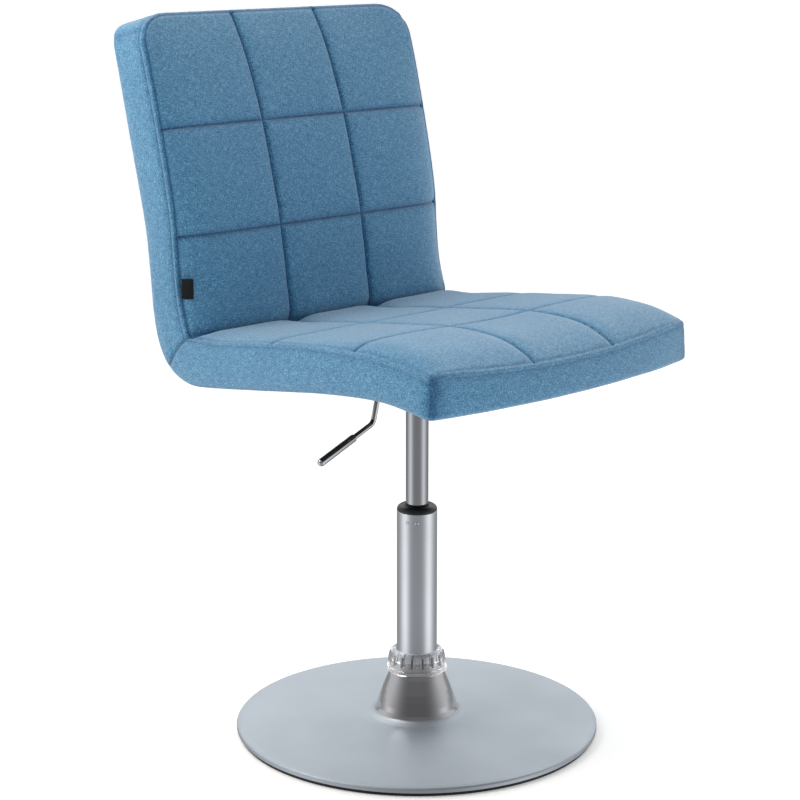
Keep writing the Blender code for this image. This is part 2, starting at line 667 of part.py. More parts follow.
rear_cover = side_outline("rear_cover", strip(cover_out, cover_in), -half, half, "fabric_light")
cut(rear_cover, rounded_top("cover_top", 0.0005), 'INTERSECT')
wad_out = beside(rear_face, FABRIC + 0.0003)[:len(cover_out)]
wad_in = beside(rear_face, PLY_IN - 0.0003)[:len(cover_out)]
wad_out = [p for p in wad_out if p.y <= 0.848]
wad_in = wad_in[-len(wad_out):]
wadding = side_outline("rear_wadding", strip(wad_out, wad_in), -half + 0.004, half - 0.004, "foam")
cut(wadding, rounded_top("wadding_top", 0.0045), 'INTERSECT')
n0 = len(cover_out)
dust_a = beside(rear_face, PLY_IN - 0.0013)[n0:]
dust_b = beside(rear_face, PLY_IN - 0.0003)[n0:]
dust_a = [p for p in dust_a if p.x >= -0.205]
dust_b = dust_b[:len(dust_a)]
dust = side_outline("dust_cover", strip(dust_a, dust_b), -0.198, 0.198, "cloth_black")

full = [tuple(p) for p in back_face[:-1]] + [tuple(p) for p in seat_face] \
    + [tuple(p) for p in reversed(rear_face)]


def border(name, x0, x1, wedge, keep):
    """Part of the strip that runs up both sides and over the round corners."""
    over = full[1:-1] + [tuple(top_b + up * 0.010), tuple(top_a + up * 0.010)]
    ob = side_outline(name, over, x0, x1, "fabric_light")
    cut(ob, rounded_top(name + "_outside", -FABRIC), 'INTERSECT')
    cut(ob, rounded_top(name + "_inside", 0.0), 'DIFFERENCE')
    cut(ob, wedge, keep)
    return ob


def wedge(name, gap):
    """What lies above the two cross seams, half-way round the top corners."""
    c = COVER_HALF_W - TOP_R
    line = [(-c, -TOP_R + gap), (-c - 0.09, -TOP_R + gap + 0.09), (c + 0.09, -TOP_R + gap + 0.09),
            (c, -TOP_R + gap)]
    return prism(name, line, at_depth(-0.050), at_depth(0.110))


border("top_border", -0.2300, 0.2300, wedge("top_part", 0.0002), 'INTERSECT')
right = border("right_side_border", -0.2300, -0.1500, wedge("right_part", -0.0002), 'DIFFERENCE')
left = border("left_side_border", 0.1500, 0.2300, wedge("left_part", -0.0002), 'DIFFERENCE')
cut(right, bowed_front("right_front", 0.0), 'INTERSECT')
cut(left, bowed_front("left_front", 0.0), 'INTERSECT')

# small woven tab sewn into the side seam of the back, standing off its face
box("side_tab", (0.0165, 0.0008, 0.0243), (-0.2168, 0.1643, 0.5635), "cloth_black",
    rot=(0, 0, math.radians(-17)))

# ------------------------------------------------ screws and nuts of the plate
bolt_profile = [(0.0, 0.0150), (0.0024, 0.0150), (0.0029, 0.0144), (0.0029, -0.0027),
                (0.0062, -0.0028), (0.0062, -0.0040), (0.0048, -0.0064), (0.0, -0.0064)]
nut_profile = [(0.0032, 0.0156), (0.0090, 0.0156), (0.0090, 0.0142), (0.0040, 0.0141),
               (0.0040, 0.0050), (0.0032, 0.0050)]
for n, (sx, sy) in enumerate(((-1, -1), (1, -1), (1, 1), (-1, 1))):
    at = (sx * PLATE_HOLES[0], sy * PLATE_HOLES[1])
    place = plate_frame @ Matrix.Translation((at[0], at[1], 0))
    bolt = turned("seat_screw_%d" % (n + 1), bolt_profile, "steel", sides=12, closed=False)
    bolt.matrix_world = place
    nut = turned("tee_nut_%d" % (n + 1), nut_profile, "steel", sides=12)
    nut.matrix_world = place
    through = cylinder_cutter("screw_hole_%d" % (n + 1), 0.0034, -0.01, 0.0017, at, 12, plate_frame)
    cut(plate, through)
    cut(dust, through)
    cut(shell, cylinder_cutter("nut_hole_%d" % (n + 1), 0.0044, 0.0005, 0.016, at, 12, plate_frame))
    cut(seat_foam, cylinder_cutter("nut_pocket_%d" % (n + 1), 0.0100, 0.010, 0.0170, at, 12,
                                   plate_frame))

for ob in CHAIR.objects:
    if ob.type == 'MESH':
        smooth(ob.data)
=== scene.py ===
import math

import bmesh
import bpy
import numpy as np
from mathutils import Matrix, Vector, noise


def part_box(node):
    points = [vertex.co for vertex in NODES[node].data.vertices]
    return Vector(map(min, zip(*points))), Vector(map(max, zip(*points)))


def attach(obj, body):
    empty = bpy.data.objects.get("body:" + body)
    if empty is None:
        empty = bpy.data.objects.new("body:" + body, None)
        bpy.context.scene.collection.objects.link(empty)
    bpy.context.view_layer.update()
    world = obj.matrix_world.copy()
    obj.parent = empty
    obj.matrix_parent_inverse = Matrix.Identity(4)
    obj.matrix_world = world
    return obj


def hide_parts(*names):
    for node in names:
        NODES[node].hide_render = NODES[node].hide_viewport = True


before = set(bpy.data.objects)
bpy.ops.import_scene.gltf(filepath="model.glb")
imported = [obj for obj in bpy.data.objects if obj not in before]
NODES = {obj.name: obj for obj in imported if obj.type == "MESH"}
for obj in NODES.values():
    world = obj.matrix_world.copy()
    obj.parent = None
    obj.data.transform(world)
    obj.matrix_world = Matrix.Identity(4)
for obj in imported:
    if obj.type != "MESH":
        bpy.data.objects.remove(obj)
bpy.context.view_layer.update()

# ------------------------------------------------------------------ camera
cam_data = bpy.data.cameras.new("camera")
cam = bpy.data.objects.new("camera", cam_data)
bpy.context.scene.collection.objects.link(cam)
cam_data.sensor_width = 36.0
cam_data.lens = 95.9
cam_data.clip_start, cam_data.clip_end = 0.05, 60.0
YAW, PITCH = 0.800323, 0.225711
look = Vector((math.sin(YAW) * math.cos(PITCH), math.cos(YAW) * math.cos(PITCH), -math.sin(PITCH)))
cam.location = (-1.8216, -1.7389, 0.9971)
cam.rotation_mode = 'QUATERNION'
cam.rotation_quaternion = look.to_track_quat('-Z', 'Y')
bpy.context.scene.camera = cam

# ------------------------------------------------------------------ sizes
# the upholstery's side profile, (Y, Z), as the CAD solids hold it
BACK_FACE = [(0.2402, 0.8772), (0.2215, 0.8260), (0.1990, 0.7350),
             (0.1815, 0.6500), (0.1755, 0.6000), (0.1680, 0.5480),
             (0.1570, 0.5060)]
SEAT_FACE = [(0.1570, 0.5060), (0.1040, 0.5090), (0.0290, 0.5187),
             (-0.0565, 0.5273), (-0.1300, 0.5292), (-0.1900, 0.5252),
             (-0.2270, 0.5180), (-0.2490, 0.5140)]
REAR_FACE = [(0.2880, 0.8620), (0.2785, 0.8230), (0.2620, 0.7500),
             (0.2350, 0.6383), (0.2270, 0.5800), (0.2215, 0.5250),
             (0.2110, 0.4890), (0.1930, 0.4640), (0.1640, 0.4505),
             (0.1290, 0.4498), (0.0334, 0.4612), (-0.0660, 0.4729),
             (-0.1500, 0.4785), (-0.2000, 0.4745), (-0.2340, 0.4690),
             (-0.2535, 0.4682)]
BOW = 0.0210               # the seat's front edge is bowed forward this much
HALF_W = 0.2235
COL_X = 0.0690


# ------------------------------------------------------------------ node help
def new_material(name):
    mat = bpy.data.materials.new(name)
    mat.use_nodes = True
    nt = mat.node_tree
    for n in list(nt.nodes):
        nt.nodes.remove(n)
    out = nt.nodes.new("ShaderNodeOutputMaterial")
    bsdf = nt.nodes.new("ShaderNodeBsdfPrincipled")
    nt.links.new(bsdf.outputs[0], out.inputs[0])
    return mat, nt, bsdf


class Net:
    """Short names for building node trees."""

    def __init__(self, nt):
        self.nt = nt

    def node(self, kind, **props):
        n = self.nt.nodes.new(kind)
        for k, v in props.items():
            setattr(n, k, v)
        return n

    def put(self, socket, value):
        if isinstance(value, bpy.types.NodeSocket):
            self.nt.links.new(value, socket)
        elif value is not None:
            socket.default_value = value

    def math(self, op, a, b=None, c=None, clamp=False):
        n = self.node("ShaderNodeMath", operation=op, use_clamp=clamp)
        self.put(n.inputs[0], a)
        if b is not None:
            self.put(n.inputs[1], b)
        if c is not None:
            self.put(n.inputs[2], c)
        return n.outputs[0]

    def vmul(self, v, scale):
        n = self.node("ShaderNodeVectorMath", operation='MULTIPLY')
        self.put(n.inputs[0], v)
        n.inputs[1].default_value = scale
        return n.outputs[0]

    def noise(self, v, scale, detail=2.0, rough=0.5, out="Fac"):
        n = self.node("ShaderNodeTexNoise")
        self.put(n.inputs["Vector"], v)
        n.inputs["Scale"].default_value = scale
        n.inputs["Detail"].default_value = detail
        n.inputs["Roughness"].default_value = rough
        return n.outputs[out]

    def ramp(self, fac, stops):
        n = self.node("ShaderNodeValToRGB")
        self.put(n.inputs[0], fac)
        cr = n.color_ramp
        while len(cr.elements) < len(stops):
            cr.elements.new(0.5)
        for e, (pos, col) in zip(cr.elements, stops):
            e.position = pos
            e.color = (*col, 1.0) if len(col) == 3 else col
        return n.outputs[0]

    def mix(self, fac, a, b, blend='MIX'):
        n = self.node("ShaderNodeMix", data_type='RGBA', blend_type=blend)
        self.put(n.inputs[0], fac)
        self.put(n.inputs[6], a if isinstance(a, bpy.types.NodeSocket) else (*a, 1.0))
        self.put(n.inputs[7], b if isinstance(b, bpy.types.NodeSocket) else (*b, 1.0))
        return n.outputs[2]

    def range(self, v, a, b, c, d):
        n = self.node("ShaderNodeMapRange")
        self.put(n.inputs[0], v)
        for i, x in enumerate((a, b, c, d)):
            n.inputs[i + 1].default_value = x
        return n.outputs[0]

    def bump(self, height, strength, distance, normal=None):
        n = self.node("ShaderNodeBump")
        n.inputs["Strength"].default_value = strength
        n.inputs["Distance"].default_value = distance
        self.put(n.inputs["Height"], height)
        if normal is not None:
            self.put(n.inputs["Normal"], normal)
        return n.outputs[0]


def obj_coords(net):
    return net.node("ShaderNodeTexCoord").outputs["Object"]


# ------------------------------------------------------------------ materials
def fabric_material(name, tint=1.0):
    """Heathered flat-weave upholstery fabric.  The weave follows the cloth's
    own flat layout, which the panels carry as a UV map in metres."""
    mat, nt, bsdf = new_material(name)
    net = Net(nt)
    uv = net.node("ShaderNodeUVMap", uv_map="cloth").outputs[0]
    wob = net.noise(uv, 420.0, 2.0, 0.6, out="Color")
    centred = net.node("ShaderNodeVectorMath", operation='SUBTRACT')
    net.put(centred.inputs[0], wob)
    centred.inputs[1].default_value = (0.5, 0.5, 0.5)
    wobble = net.vmul(centred.outputs[0], (0.0005, 0.0005, 0.0))
    place = net.node("ShaderNodeVectorMath", operation='ADD')
    net.put(place.inputs[0], uv)
    net.put(place.inputs[1], wobble)
    sep = net.node("ShaderNodeSeparateXYZ")
    net.put(sep.inputs[0], place.outputs[0])
    pitch = 0.00085
    k = math.pi / pitch
    su = net.math('SINE', net.math('MULTIPLY', sep.outputs[0], k))
    sv = net.math('SINE', net.math('MULTIPLY', sep.outputs[1], k))
    knit = net.math('MULTIPLY', su, sv)
    # yarns: long slubs along the weft and the warp
    weft = net.noise(net.vmul(uv, (160.0, 1300.0, 1.0)), 1.0, 3.0, 0.65)
    warp = net.noise(net.vmul(uv, (1300.0, 160.0, 1.0)), 1.0, 3.0, 0.65)
    over = net.math('GREATER_THAN', knit, 0.0)
    yarn = net.mix(over, weft, warp)
    yarn_val = net.node("ShaderNodeSeparateColor")
    net.put(yarn_val.inputs[0], yarn)
    yarn_f = yarn_val.outputs[0]
    flecks = net.noise(uv, 520.0, 4.0, 0.78)
    cloud = net.noise(uv, 26.0, 3.0, 0.55)
    blotch = net.noise(uv, 120.0, 3.0, 0.6)
    mixed = net.math('ADD', net.math('MULTIPLY', yarn_f, 0.50),
                     net.math('ADD', net.math('MULTIPLY', flecks, 0.42), net.math('MULTIPLY', blotch, 0.08)))
    mixed = net.math('MULTIPLY_ADD', net.math('SUBTRACT', mixed, 0.5), 2.35, 0.5)
    base = net.ramp(mixed, [(0.32, tuple(c * tint for c in (0.024, 0.128, 0.265))),
                            (0.44, tuple(c * tint for c in (0.056, 0.216, 0.385))),
                            (0.55, tuple(c * tint for c in (0.103, 0.308, 0.505))),
                            (0.68, tuple(c * tint for c in (0.255, 0.505, 0.690)))])
    shade = net.ramp(cloud, [(0.30, (0.90, 0.92, 0.94)), (0.70, (1.0, 1.0, 1.0))])
    col = net.mix(1.0, base, shade, 'MULTIPLY')
    # painted shade: the hollows between yarns are darker
    low = net.ramp(net.math('ABSOLUTE', knit), [(0.0, (0.74, 0.76, 0.80)), (0.45, (1.0, 1.0, 1.0))])
    col = net.mix(1.0, col, low, 'MULTIPLY')
    # painted shade: the cloth colour is darkened in the seams, ditches, crease and front corner folds, as shade
    seam = net.node("ShaderNodeAttribute", attribute_name="seam_shade").outputs["Fac"]
    seam_shade_tint = net.ramp(seam, [(0.0, (1.0, 1.0, 1.0)), (1.0, (0.22, 0.40, 0.54))])
    col = net.mix(1.0, col, seam_shade_tint, 'MULTIPLY')
    nt.links.new(col, bsdf.inputs["Base Color"])
    fuzz = net.noise(uv, 2600.0, 2.0, 0.7)
    height = net.math('ADD', net.math('MULTIPLY', net.math('ABSOLUTE', knit), 0.6),
                      net.math('MULTIPLY', yarn_f, 0.55))
    height = net.math('ADD', height, net.math('MULTIPLY', fuzz, 0.25))
    nrm = net.bump(height, 0.55, 0.00022)
    soft = net.noise(uv, 55.0, 3.0, 0.6)
    nrm = net.bump(soft, 0.25, 0.0012, nrm)
    nt.links.new(nrm, bsdf.inputs["Normal"])
    nt.links.new(net.range(flecks, 0.3, 0.7, 0.82, 0.97), bsdf.inputs["Roughness"])
    bsdf.inputs["Sheen Weight"].default_value = 0.50
    bsdf.inputs["Sheen Roughness"].default_value = 0.50
    bsdf.inputs["Sheen Tint"].default_value = (1.0, 1.0, 1.0, 1.0)
    bsdf.inputs["Specular IOR Level"].default_value = 0.25
    return mat


def metal_material(name, colour, rough, brushed=0.0, axis='Z', grain=0.03, smudge=0.05):
    mat, nt, bsdf = new_material(name)
    net = Net(nt)
    co = obj_coords(net)
    streak = {'Z': (18.0, 18.0, 1400.0), 'R': (900.0, 900.0, 60.0), 'N': (300.0, 300.0, 300.0)}[axis]
    fine = net.noise(net.vmul(co, streak), 1.0, 4.0, 0.6)
    patches = net.noise(co, 9.0, 3.0, 0.55)
    worn = net.noise(co, 70.0, 4.0, 0.6)
    c = net.mix(net.range(patches, 0.35, 0.70, 0.0, 1.0), colour, tuple(x * 0.965 for x in colour))
    c = net.mix(net.range(worn, 0.66, 0.80, 0.0, 0.35), c, tuple(x * 0.90 for x in colour))
    nt.links.new(c, bsdf.inputs["Base Color"])
    r = net.math('ADD', net.range(fine, 0.3, 0.7, rough - grain, rough + grain),
                 net.range(patches, 0.3, 0.7, -smudge * 0.5, smudge))
    nt.links.new(r, bsdf.inputs["Roughness"])
    bsdf.inputs["Metallic"].default_value = 1.0
    if brushed:
        nt.links.new(net.bump(fine, brushed, 0.00004), bsdf.inputs["Normal"])
    return mat


def plastic_material(name, colour, rough, grain=700.0, bump=0.15, spec=0.45):
    mat, nt, bsdf = new_material(name)
    net = Net(nt)
    co = obj_coords(net)
    n1 = net.noise(co, grain, 3.0, 0.6)
    n2 = net.noise(co, 35.0, 3.0, 0.6)
    c = net.mix(net.range(n2, 0.4, 0.75, 0.0, 1.0), colour, tuple(min(1.0, x * 1.35 + 0.004) for x in colour))
    nt.links.new(c, bsdf.inputs["Base Color"])
    nt.links.new(net.math('ADD', net.range(n1, 0.3, 0.7, rough - 0.05, rough + 0.05),
                          net.range(n2, 0.3, 0.7, -0.03, 0.05)), bsdf.inputs["Roughness"])
    nt.links.new(net.bump(n1, bump, 0.00012), bsdf.inputs["Normal"])
    bsdf.inputs["Specular IOR Level"].default_value = spec
    return mat


def clear_material(name):
    mat, nt, bsdf = new_material(name)
    net = Net(nt)
    co = obj_coords(net)
    n1 = net.noise(co, 120.0, 3.0, 0.6)
    c = net.mix(net.range(n1, 0.35, 0.7, 0.0, 1.0), (0.97, 0.97, 0.98), (0.92, 0.92, 0.94))
    # painted shade: dark, less clear stripes round the slot band stand in for the shade seen through the slots
    sep = net.node("ShaderNodeSeparateXYZ")
    net.put(sep.inputs[0], co)
    turn = net.math('MULTIPLY', net.math('ARCTAN2', sep.outputs[1], sep.outputs[0]), 16.0 / (2 * math.pi))
    stripe = net.math('ABSOLUTE', net.math('SUBTRACT', net.math('FRACT', net.math('ADD', turn, 16.0)), 0.5))
    gap = net.range(stripe, 0.07, 0.15, 1.0, 0.0)
    up = net.math('MULTIPLY', net.range(sep.outputs[2], 0.0850, 0.0862, 0.0, 1.0),
                  net.range(sep.outputs[2], 0.0985, 0.0998, 1.0, 0.0))
    gap = net.math('MULTIPLY', gap, up)
    c = net.mix(gap, c, (0.13, 0.135, 0.145))
    nt.links.new(c, bsdf.inputs["Base Color"])
    nt.links.new(net.range(n1, 0.3, 0.7, 0.03, 0.09), bsdf.inputs["Roughness"])
    nt.links.new(net.math('MULTIPLY_ADD', gap, -0.60, 0.90), bsdf.inputs["Transmission Weight"])
    bsdf.inputs["IOR"].default_value = 1.49
    return mat


def wood_material(name):
    mat, nt, bsdf = new_material(name)
    net = Net(nt)
    co = obj_coords(net)
    grain = net.noise(net.vmul(co, (6.0, 160.0, 900.0)), 1.0, 4.0, 0.6)
    ply = net.node("ShaderNodeTexWave", wave_type='BANDS')
    net.put(ply.inputs["Vector"], net.vmul(co, (1.0, 90.0, 90.0)))
    c = net.ramp(grain, [(0.3, (0.40, 0.26, 0.14)), (0.7, (0.62, 0.46, 0.29))])
    nt.links.new(c, bsdf.inputs["Base Color"])
    nt.links.new(net.range(grain, 0.3, 0.7, 0.5, 0.7), bsdf.inputs["Roughness"])
    nt.links.new(net.bump(grain, 0.3, 0.0003), bsdf.inputs["Normal"])
    return mat


def felt_material(name, colour, scale=900.0):
    """Black non-woven or woven tape."""
    mat, nt, bsdf = new_material(name)
    net = Net(nt)
    co = obj_coords(net)
    f = net.noise(co, scale, 4.0, 0.7)
    g = net.noise(co, 60.0, 2.0, 0.5)
    c = net.ramp(f, [(0.3, tuple(x * 0.5 for x in colour)), (0.7, tuple(x * 1.7 for x in colour))])
    nt.links.new(net.mix(net.range(g, 0.3, 0.7, 0.0, 0.25), c, (0.03, 0.03, 0.032)), bsdf.inputs["Base Color"])
    nt.links.new(net.range(f, 0.3, 0.7, 0.85, 1.0), bsdf.inputs["Roughness"])
    nt.links.new(net.bump(f, 0.6, 0.0003), bsdf.inputs["Normal"])
    return mat


def disc_material():
    """Chromed trumpet base: the neck is polished, the plate has a satin finish."""
    mat, nt, bsdf = new_material("trumpet_chrome")
    net = Net(nt)
    co = obj_coords(net)
    sep = net.node("ShaderNodeSeparateXYZ")
    net.put(sep.inputs[0], co)
    r2 = net.math('ADD', net.math('MULTIPLY', sep.outputs[0], sep.outputs[0]),
                  net.math('MULTIPLY', sep.outputs[1], sep.outputs[1]))
    r = net.math('SQRT', r2)
    fine = net.noise(net.vmul(co, (900.0, 900.0, 60.0)), 1.0, 4.0, 0.6)
    patches = net.noise(co, 9.0, 3.0, 0.55)
    worn = net.noise(co, 70.0, 4.0, 0.6)
    satin = net.range(r, 0.0516, 0.0530, 0.0, 1.0)
    rough = net.math('ADD', net.math('MULTIPLY', satin, net.range(patches, 0.3, 0.7, 0.54, 0.62)),
                     net.math('MULTIPLY', net.math('SUBTRACT', 1.0, satin), net.range(worn, 0.3, 0.8, 0.06, 0.12)))
    rough = net.math('ADD', rough, net.range(fine, 0.3, 0.7, -0.012, 0.012))
    nt.links.new(rough, bsdf.inputs["Roughness"])
    c = net.mix(satin, (0.52, 0.515, 0.53), (0.470, 0.514, 0.562))
    c = net.mix(net.range(patches, 0.35, 0.70, 0.0, 0.5), c, (0.445, 0.485, 0.53))
    c = net.mix(net.range(worn, 0.68, 0.85, 0.0, 0.25), c, (0.42, 0.44, 0.47))
    nt.links.new(c, bsdf.inputs["Base Color"])
    bsdf.inputs["Metallic"].default_value = 1.0
    nt.links.new(net.bump(fine, 0.05, 0.00003), bsdf.inputs["Normal"])
    return mat


M_FABRIC = fabric_material("blue_melange")
M_DISC = disc_material()
M_TUBE = metal_material("satin_chrome_tube", (0.575, 0.602, 0.645), 0.24, 0.025, "Z", 0.02, 0.03)
M_ROD = metal_material("chrome_cylinder", (0.365, 0.38, 0.405), 0.10, 0.015, "Z", 0.015, 0.02)
M_LEVER = metal_material("bright_chrome", (0.50, 0.51, 0.53), 0.07, 0.0, 'N', 0.02, 0.03)
M_STEEL = metal_material("zinc_steel", (0.50, 0.50, 0.52), 0.34, 0.15, 'N', 0.06, 0.05)
M_BLACK = plastic_material("black_plastic", (0.010, 0.010, 0.011), 0.33)
M_RUBBER = plastic_material("floor_pad_plastic", (0.012, 0.012, 0.012), 0.6, 500.0, 0.3, 0.3)
M_BLACKSTEEL = plastic_material("black_painted_steel", (0.014, 0.014, 0.016), 0.38, 1500.0, 0.2, 0.5)
M_IRON = plastic_material("ballast_paint", (0.05, 0.05, 0.055), 0.6, 400.0, 0.4, 0.3)
M_CLEAR = clear_material("clear_plastic")
M_WOOD = wood_material("bent_ply")
M_DUST = felt_material("dust_cloth", (0.010, 0.010, 0.011))
M_TAB = felt_material("woven_tab", (0.008, 0.008, 0.009), 1600.0)
M_FOAM = felt_material("foam", (0.55, 0.50, 0.38), 400.0)


def give(ob, mat):
    ob.data.materials.clear()
    ob.data.materials.append(mat)


# ------------------------------------------------------------------ mesh help
def link(ob):
    bpy.context.scene.collection.objects.link(ob)
    return ob


def mesh_object(name, verts, faces, mat=None, smooth=True, angle=None):
    me = bpy.data.meshes.new(name)
    me.from_pydata([tuple(v) for v in verts], [], [tuple(f) for f in faces])
    me.update()
    ob = link(bpy.data.objects.new(name, me))
    if mat:
        me.materials.append(mat)
    if smooth:
        me.shade_smooth()
        if angle:
            me.set_sharp_from_angle(angle=math.radians(angle))
    return ob


def fillet(points, closed=True):
    """(r, z, radius[, segments]) corners to a rounded outline."""
    out = []
    n = len(points)
    for i, p in enumerate(points):
        rad = p[2] if len(p) > 2 else 0.0
        v = Vector(p[:2])
        if rad <= 0 or (not closed and i in (0, n - 1)):
            out.append(v)
            continue
        a = Vector(points[i - 1][:2]) - v
        b = Vector(points[(i + 1) % n][:2]) - v
        la, lb = a.length, b.length
        a.normalize()
        b.normalize()
        ang = a.angle(b)
        if ang > math.pi - 0.02:
            out.append(v)
            continue
        back = min(rad / math.tan(ang / 2), la * 0.49, lb * 0.49)
        rr = back * math.tan(ang / 2)
        c = v + (a + b).normalized() * (rr / math.sin(ang / 2))
        p0, p1 = v + a * back - c, v + b * back - c
        seg = p[3] if len(p) > 3 else 6
        tot = p0.angle(p1)
        for k in range(seg + 1):
            t = k / seg
            q = (p0 * math.sin((1 - t) * tot) + p1 * math.sin(t * tot)) / math.sin(tot)
            out.append(c + q)
    return out


def revolve(name, profile, sides, mat, closed=True, angle=40):
    """Solid of revolution about Z, profile clockwise seen with r right, z up
    (down its outer side).  A closed profile makes a ring."""
    pts = [Vector(p) for p in profile]
    verts, faces = [], []
    rows = []
    for p in pts:
        if p.x < 1e-7:
            rows.append([len(verts)])
            verts.append((0.0, 0.0, p.y))
        else:
            rows.append(list(range(len(verts), len(verts) + sides)))
            for k in range(sides):
                a = 2 * math.pi * k / sides
                verts.append((p.x * math.cos(a), p.x * math.sin(a), p.y))
    pairs = [(i, i + 1) for i in range(len(pts) - 1)]
    if closed:
        pairs.append((len(pts) - 1, 0))
    for i, j in pairs:
        A, B = rows[i], rows[j]
        for k in range(sides):
            m = (k + 1) % sides
            if len(A) == 1 and len(B) == 1:
                continue
            if len(A) == 1:
                faces.append((A[0], B[k], B[m]))
            elif len(B) == 1:
                faces.append((A[k], B[0], A[m]))
            else:
                faces.append((A[k], B[k], B[m], A[m]))
    return mesh_object(name, verts, faces, mat, True, angle)


def sweep(name, path, radius, sides, mat, radii=None, cap=True):
    """Round tube along a path of points."""
    path = [Vector(p) for p in path]
    n = len(path)
    tangents = []
    for i in range(n):
        tangents.append((path[min(i + 1, n - 1)] - path[max(i - 1, 0)]).normalized())
    ref = Vector((0, 1, 0))
    if abs(tangents[0].dot(ref)) > 0.9:
        ref = Vector((1, 0, 0))
    verts, faces = [], []
    for i in range(n):
        t = tangents[i]
        u = (ref - t * ref.dot(t)).normalized()
        ref = u
        w = t.cross(u)
        r = radii[i] if radii else radius
        for k in range(sides):
            a = 2 * math.pi * k / sides
            verts.append(path[i] + (u * math.cos(a) + w * math.sin(a)) * r)
    for i in range(n - 1):
        for k in range(sides):
            m = (k + 1) % sides
            faces.append((i * sides + k, i * sides + m, (i + 1) * sides + m, (i + 1) * sides + k))
    if cap:
        faces.append(tuple(reversed(range(sides))))
        faces.append(tuple(range((n - 1) * sides, n * sides)))
    return mesh_object(name, verts, faces, mat, True, 50)


def stands_for(ob, body, slot, *nodes):
    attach(ob, body)
    if nodes:
        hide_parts(*nodes)
    return ob


# ------------------------------------------------------------------ base
_, disc_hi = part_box("base_disc")
DISC_R = round(disc_hi.x, 4)
bell = [(0.0268, 0.0886, 0.0), (0.0300, 0.0802, 0.004), (0.0327, 0.0752, 0.01), (0.0352, 0.0703, 0.02),
        (0.0388, 0.0620, 0.02), (0.0424, 0.0535, 0.02), (0.0456, 0.0450, 0.02), (0.0482, 0.0370, 0.02),
        (0.0501, 0.0300, 0.012, 10),
        (0.0530, 0.0237, 0.008, 10), (0.0600, 0.0199, 0.012, 10), (0.0700, 0.0184, 0.04), (0.1000, 0.0167, 0.2),
        (0.1500, 0.0142, 0.3), (0.2050, 0.0117, 0.1), (0.2190, 0.01105, 0.004),
        (0.2206, 0.0106, 0.0008), (0.2216, 0.0109, 0.0008), (0.2236, 0.0109, 0.0012, 8),
        (DISC_R, 0.0090, 0.0012, 8), (DISC_R, 0.0048, 0.0004, 4), (DISC_R - 0.0012, 0.0048, 0.0)]
inner = [(DISC_R - 0.0014, 0.0086, 0.0), (0.2180, 0.0094, 0.0), (0.1500, 0.0126, 0.0), (0.1000, 0.0151, 0.0),
         (0.0600, 0.0182, 0.0), (0.0520, 0.0225, 0.0), (0.0482, 0.0300, 0.0), (0.0430, 0.0446, 0.0),
         (0.0392, 0.0530, 0.0), (0.0325, 0.0700, 0.0), (0.0256, 0.0880, 0.0)]
disc = revolve("trumpet_disc", fillet(bell + inner), 192, M_DISC)
stands_for(disc, "base", "satin_chrome", "base_disc")

pad_lo, pad_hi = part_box("floor_pad")
pr = pad_hi.x
pad = revolve("floor_pad_skin", fillet([(0.0, 0.0042), (pr - 0.002, 0.0042, 0), (pr - 0.0018, 0.0042, 0.0003),
                                        (pr, 0.0042, 0.0008), (pr, 0.0, 0.0009), (pr - 0.014, 0.0, 0.0),
                                        (pr - 0.0145, 0.0008, 0.0), (pr - 0.0185, 0.0008, 0.0),
                                        (pr - 0.0190, 0.0, 0.0), (0.0, 0.0)], closed=False),
              160, M_RUBBER, closed=False)
stands_for(pad, "base", "floor_rubber", "floor_pad")

# ------------------------------------------------------------------ column
tube_lo, tube_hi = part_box("column_tube")
TR = 0.0250
tube = revolve("column_tube_skin",
               fillet([(TR - 0.0015, tube_hi.z, 0.0003), (TR, tube_hi.z, 0.0006), (TR, 0.0800, 0.0),
                       (0.0237, tube_lo.z, 0.0004), (0.0064, tube_lo.z, 0.0), (0.0064, tube_lo.z + 0.003, 0.0),
                       (0.0223, tube_lo.z + 0.003, 0.0), (TR - 0.0015, 0.0800, 0.0)]), 96, M_TUBE)


give(NODES["column_tube"], M_TUBE)
stands_for(tube, "base", "satin_chrome", "column_tube")
# punch marks as pressed cups set into the wall
cam_dir = math.atan2(cam.location.y, cam.location.x)
CUP = [(0.0, -0.0006), (0.0007, -0.00045), (0.0013, 0.0), (0.0016, 0.00022), (0.0020, 0.00010), (0.0024, -0.0003)]
for i, (off, zz) in enumerate(((math.radians(0), 0.2700), (math.radians(-28), 0.2702),
                               (math.radians(150), 0.2700), (math.radians(-120), 0.2700))):
    cup = revolve("punch_mark_%d" % (i + 1), [Vector(p) for p in reversed(CUP)], 24, M_TUBE, closed=False)
    ang = math.radians(223.6) + off
    n = Vector((math.cos(ang), math.sin(ang), 0))
    cup.data.transform(Matrix.Translation(n * TR + Vector((0, 0, zz)))
                       @ n.to_track_quat('Z', 'Y').to_matrix().to_4x4())
    stands_for(cup, "base", "satin_chrome")

bush_lo, bush_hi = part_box("guide_bush")
bz = bush_hi.z
bush = revolve("guide_bush_skin",
               fillet([(0.0144, bz - 0.0006, 0.0004), (0.0160, bz, 0.0008), (0.0172, bz, 0.0005),
                       (0.0182, bz - 0.0012, 0.0005), (0.0205, bz - 0.0013, 0.0005),
                       (0.0215, bz - 0.0006, 0.0004), (0.0236, bz - 0.0020, 0.0012, 8),
                       (0.0248, bz - 0.0048, 0.0015, 8), (0.0248, tube_hi.z + 0.0002, 0.0004),
                       (0.0231, tube_hi.z + 0.0002, 0.0), (0.0231, bush_lo.z, 0.0), (0.0144, bush_lo.z, 0.0)]),
               96, M_BLACK)
stands_for(bush, "base", "black_plastic", "guide_bush")

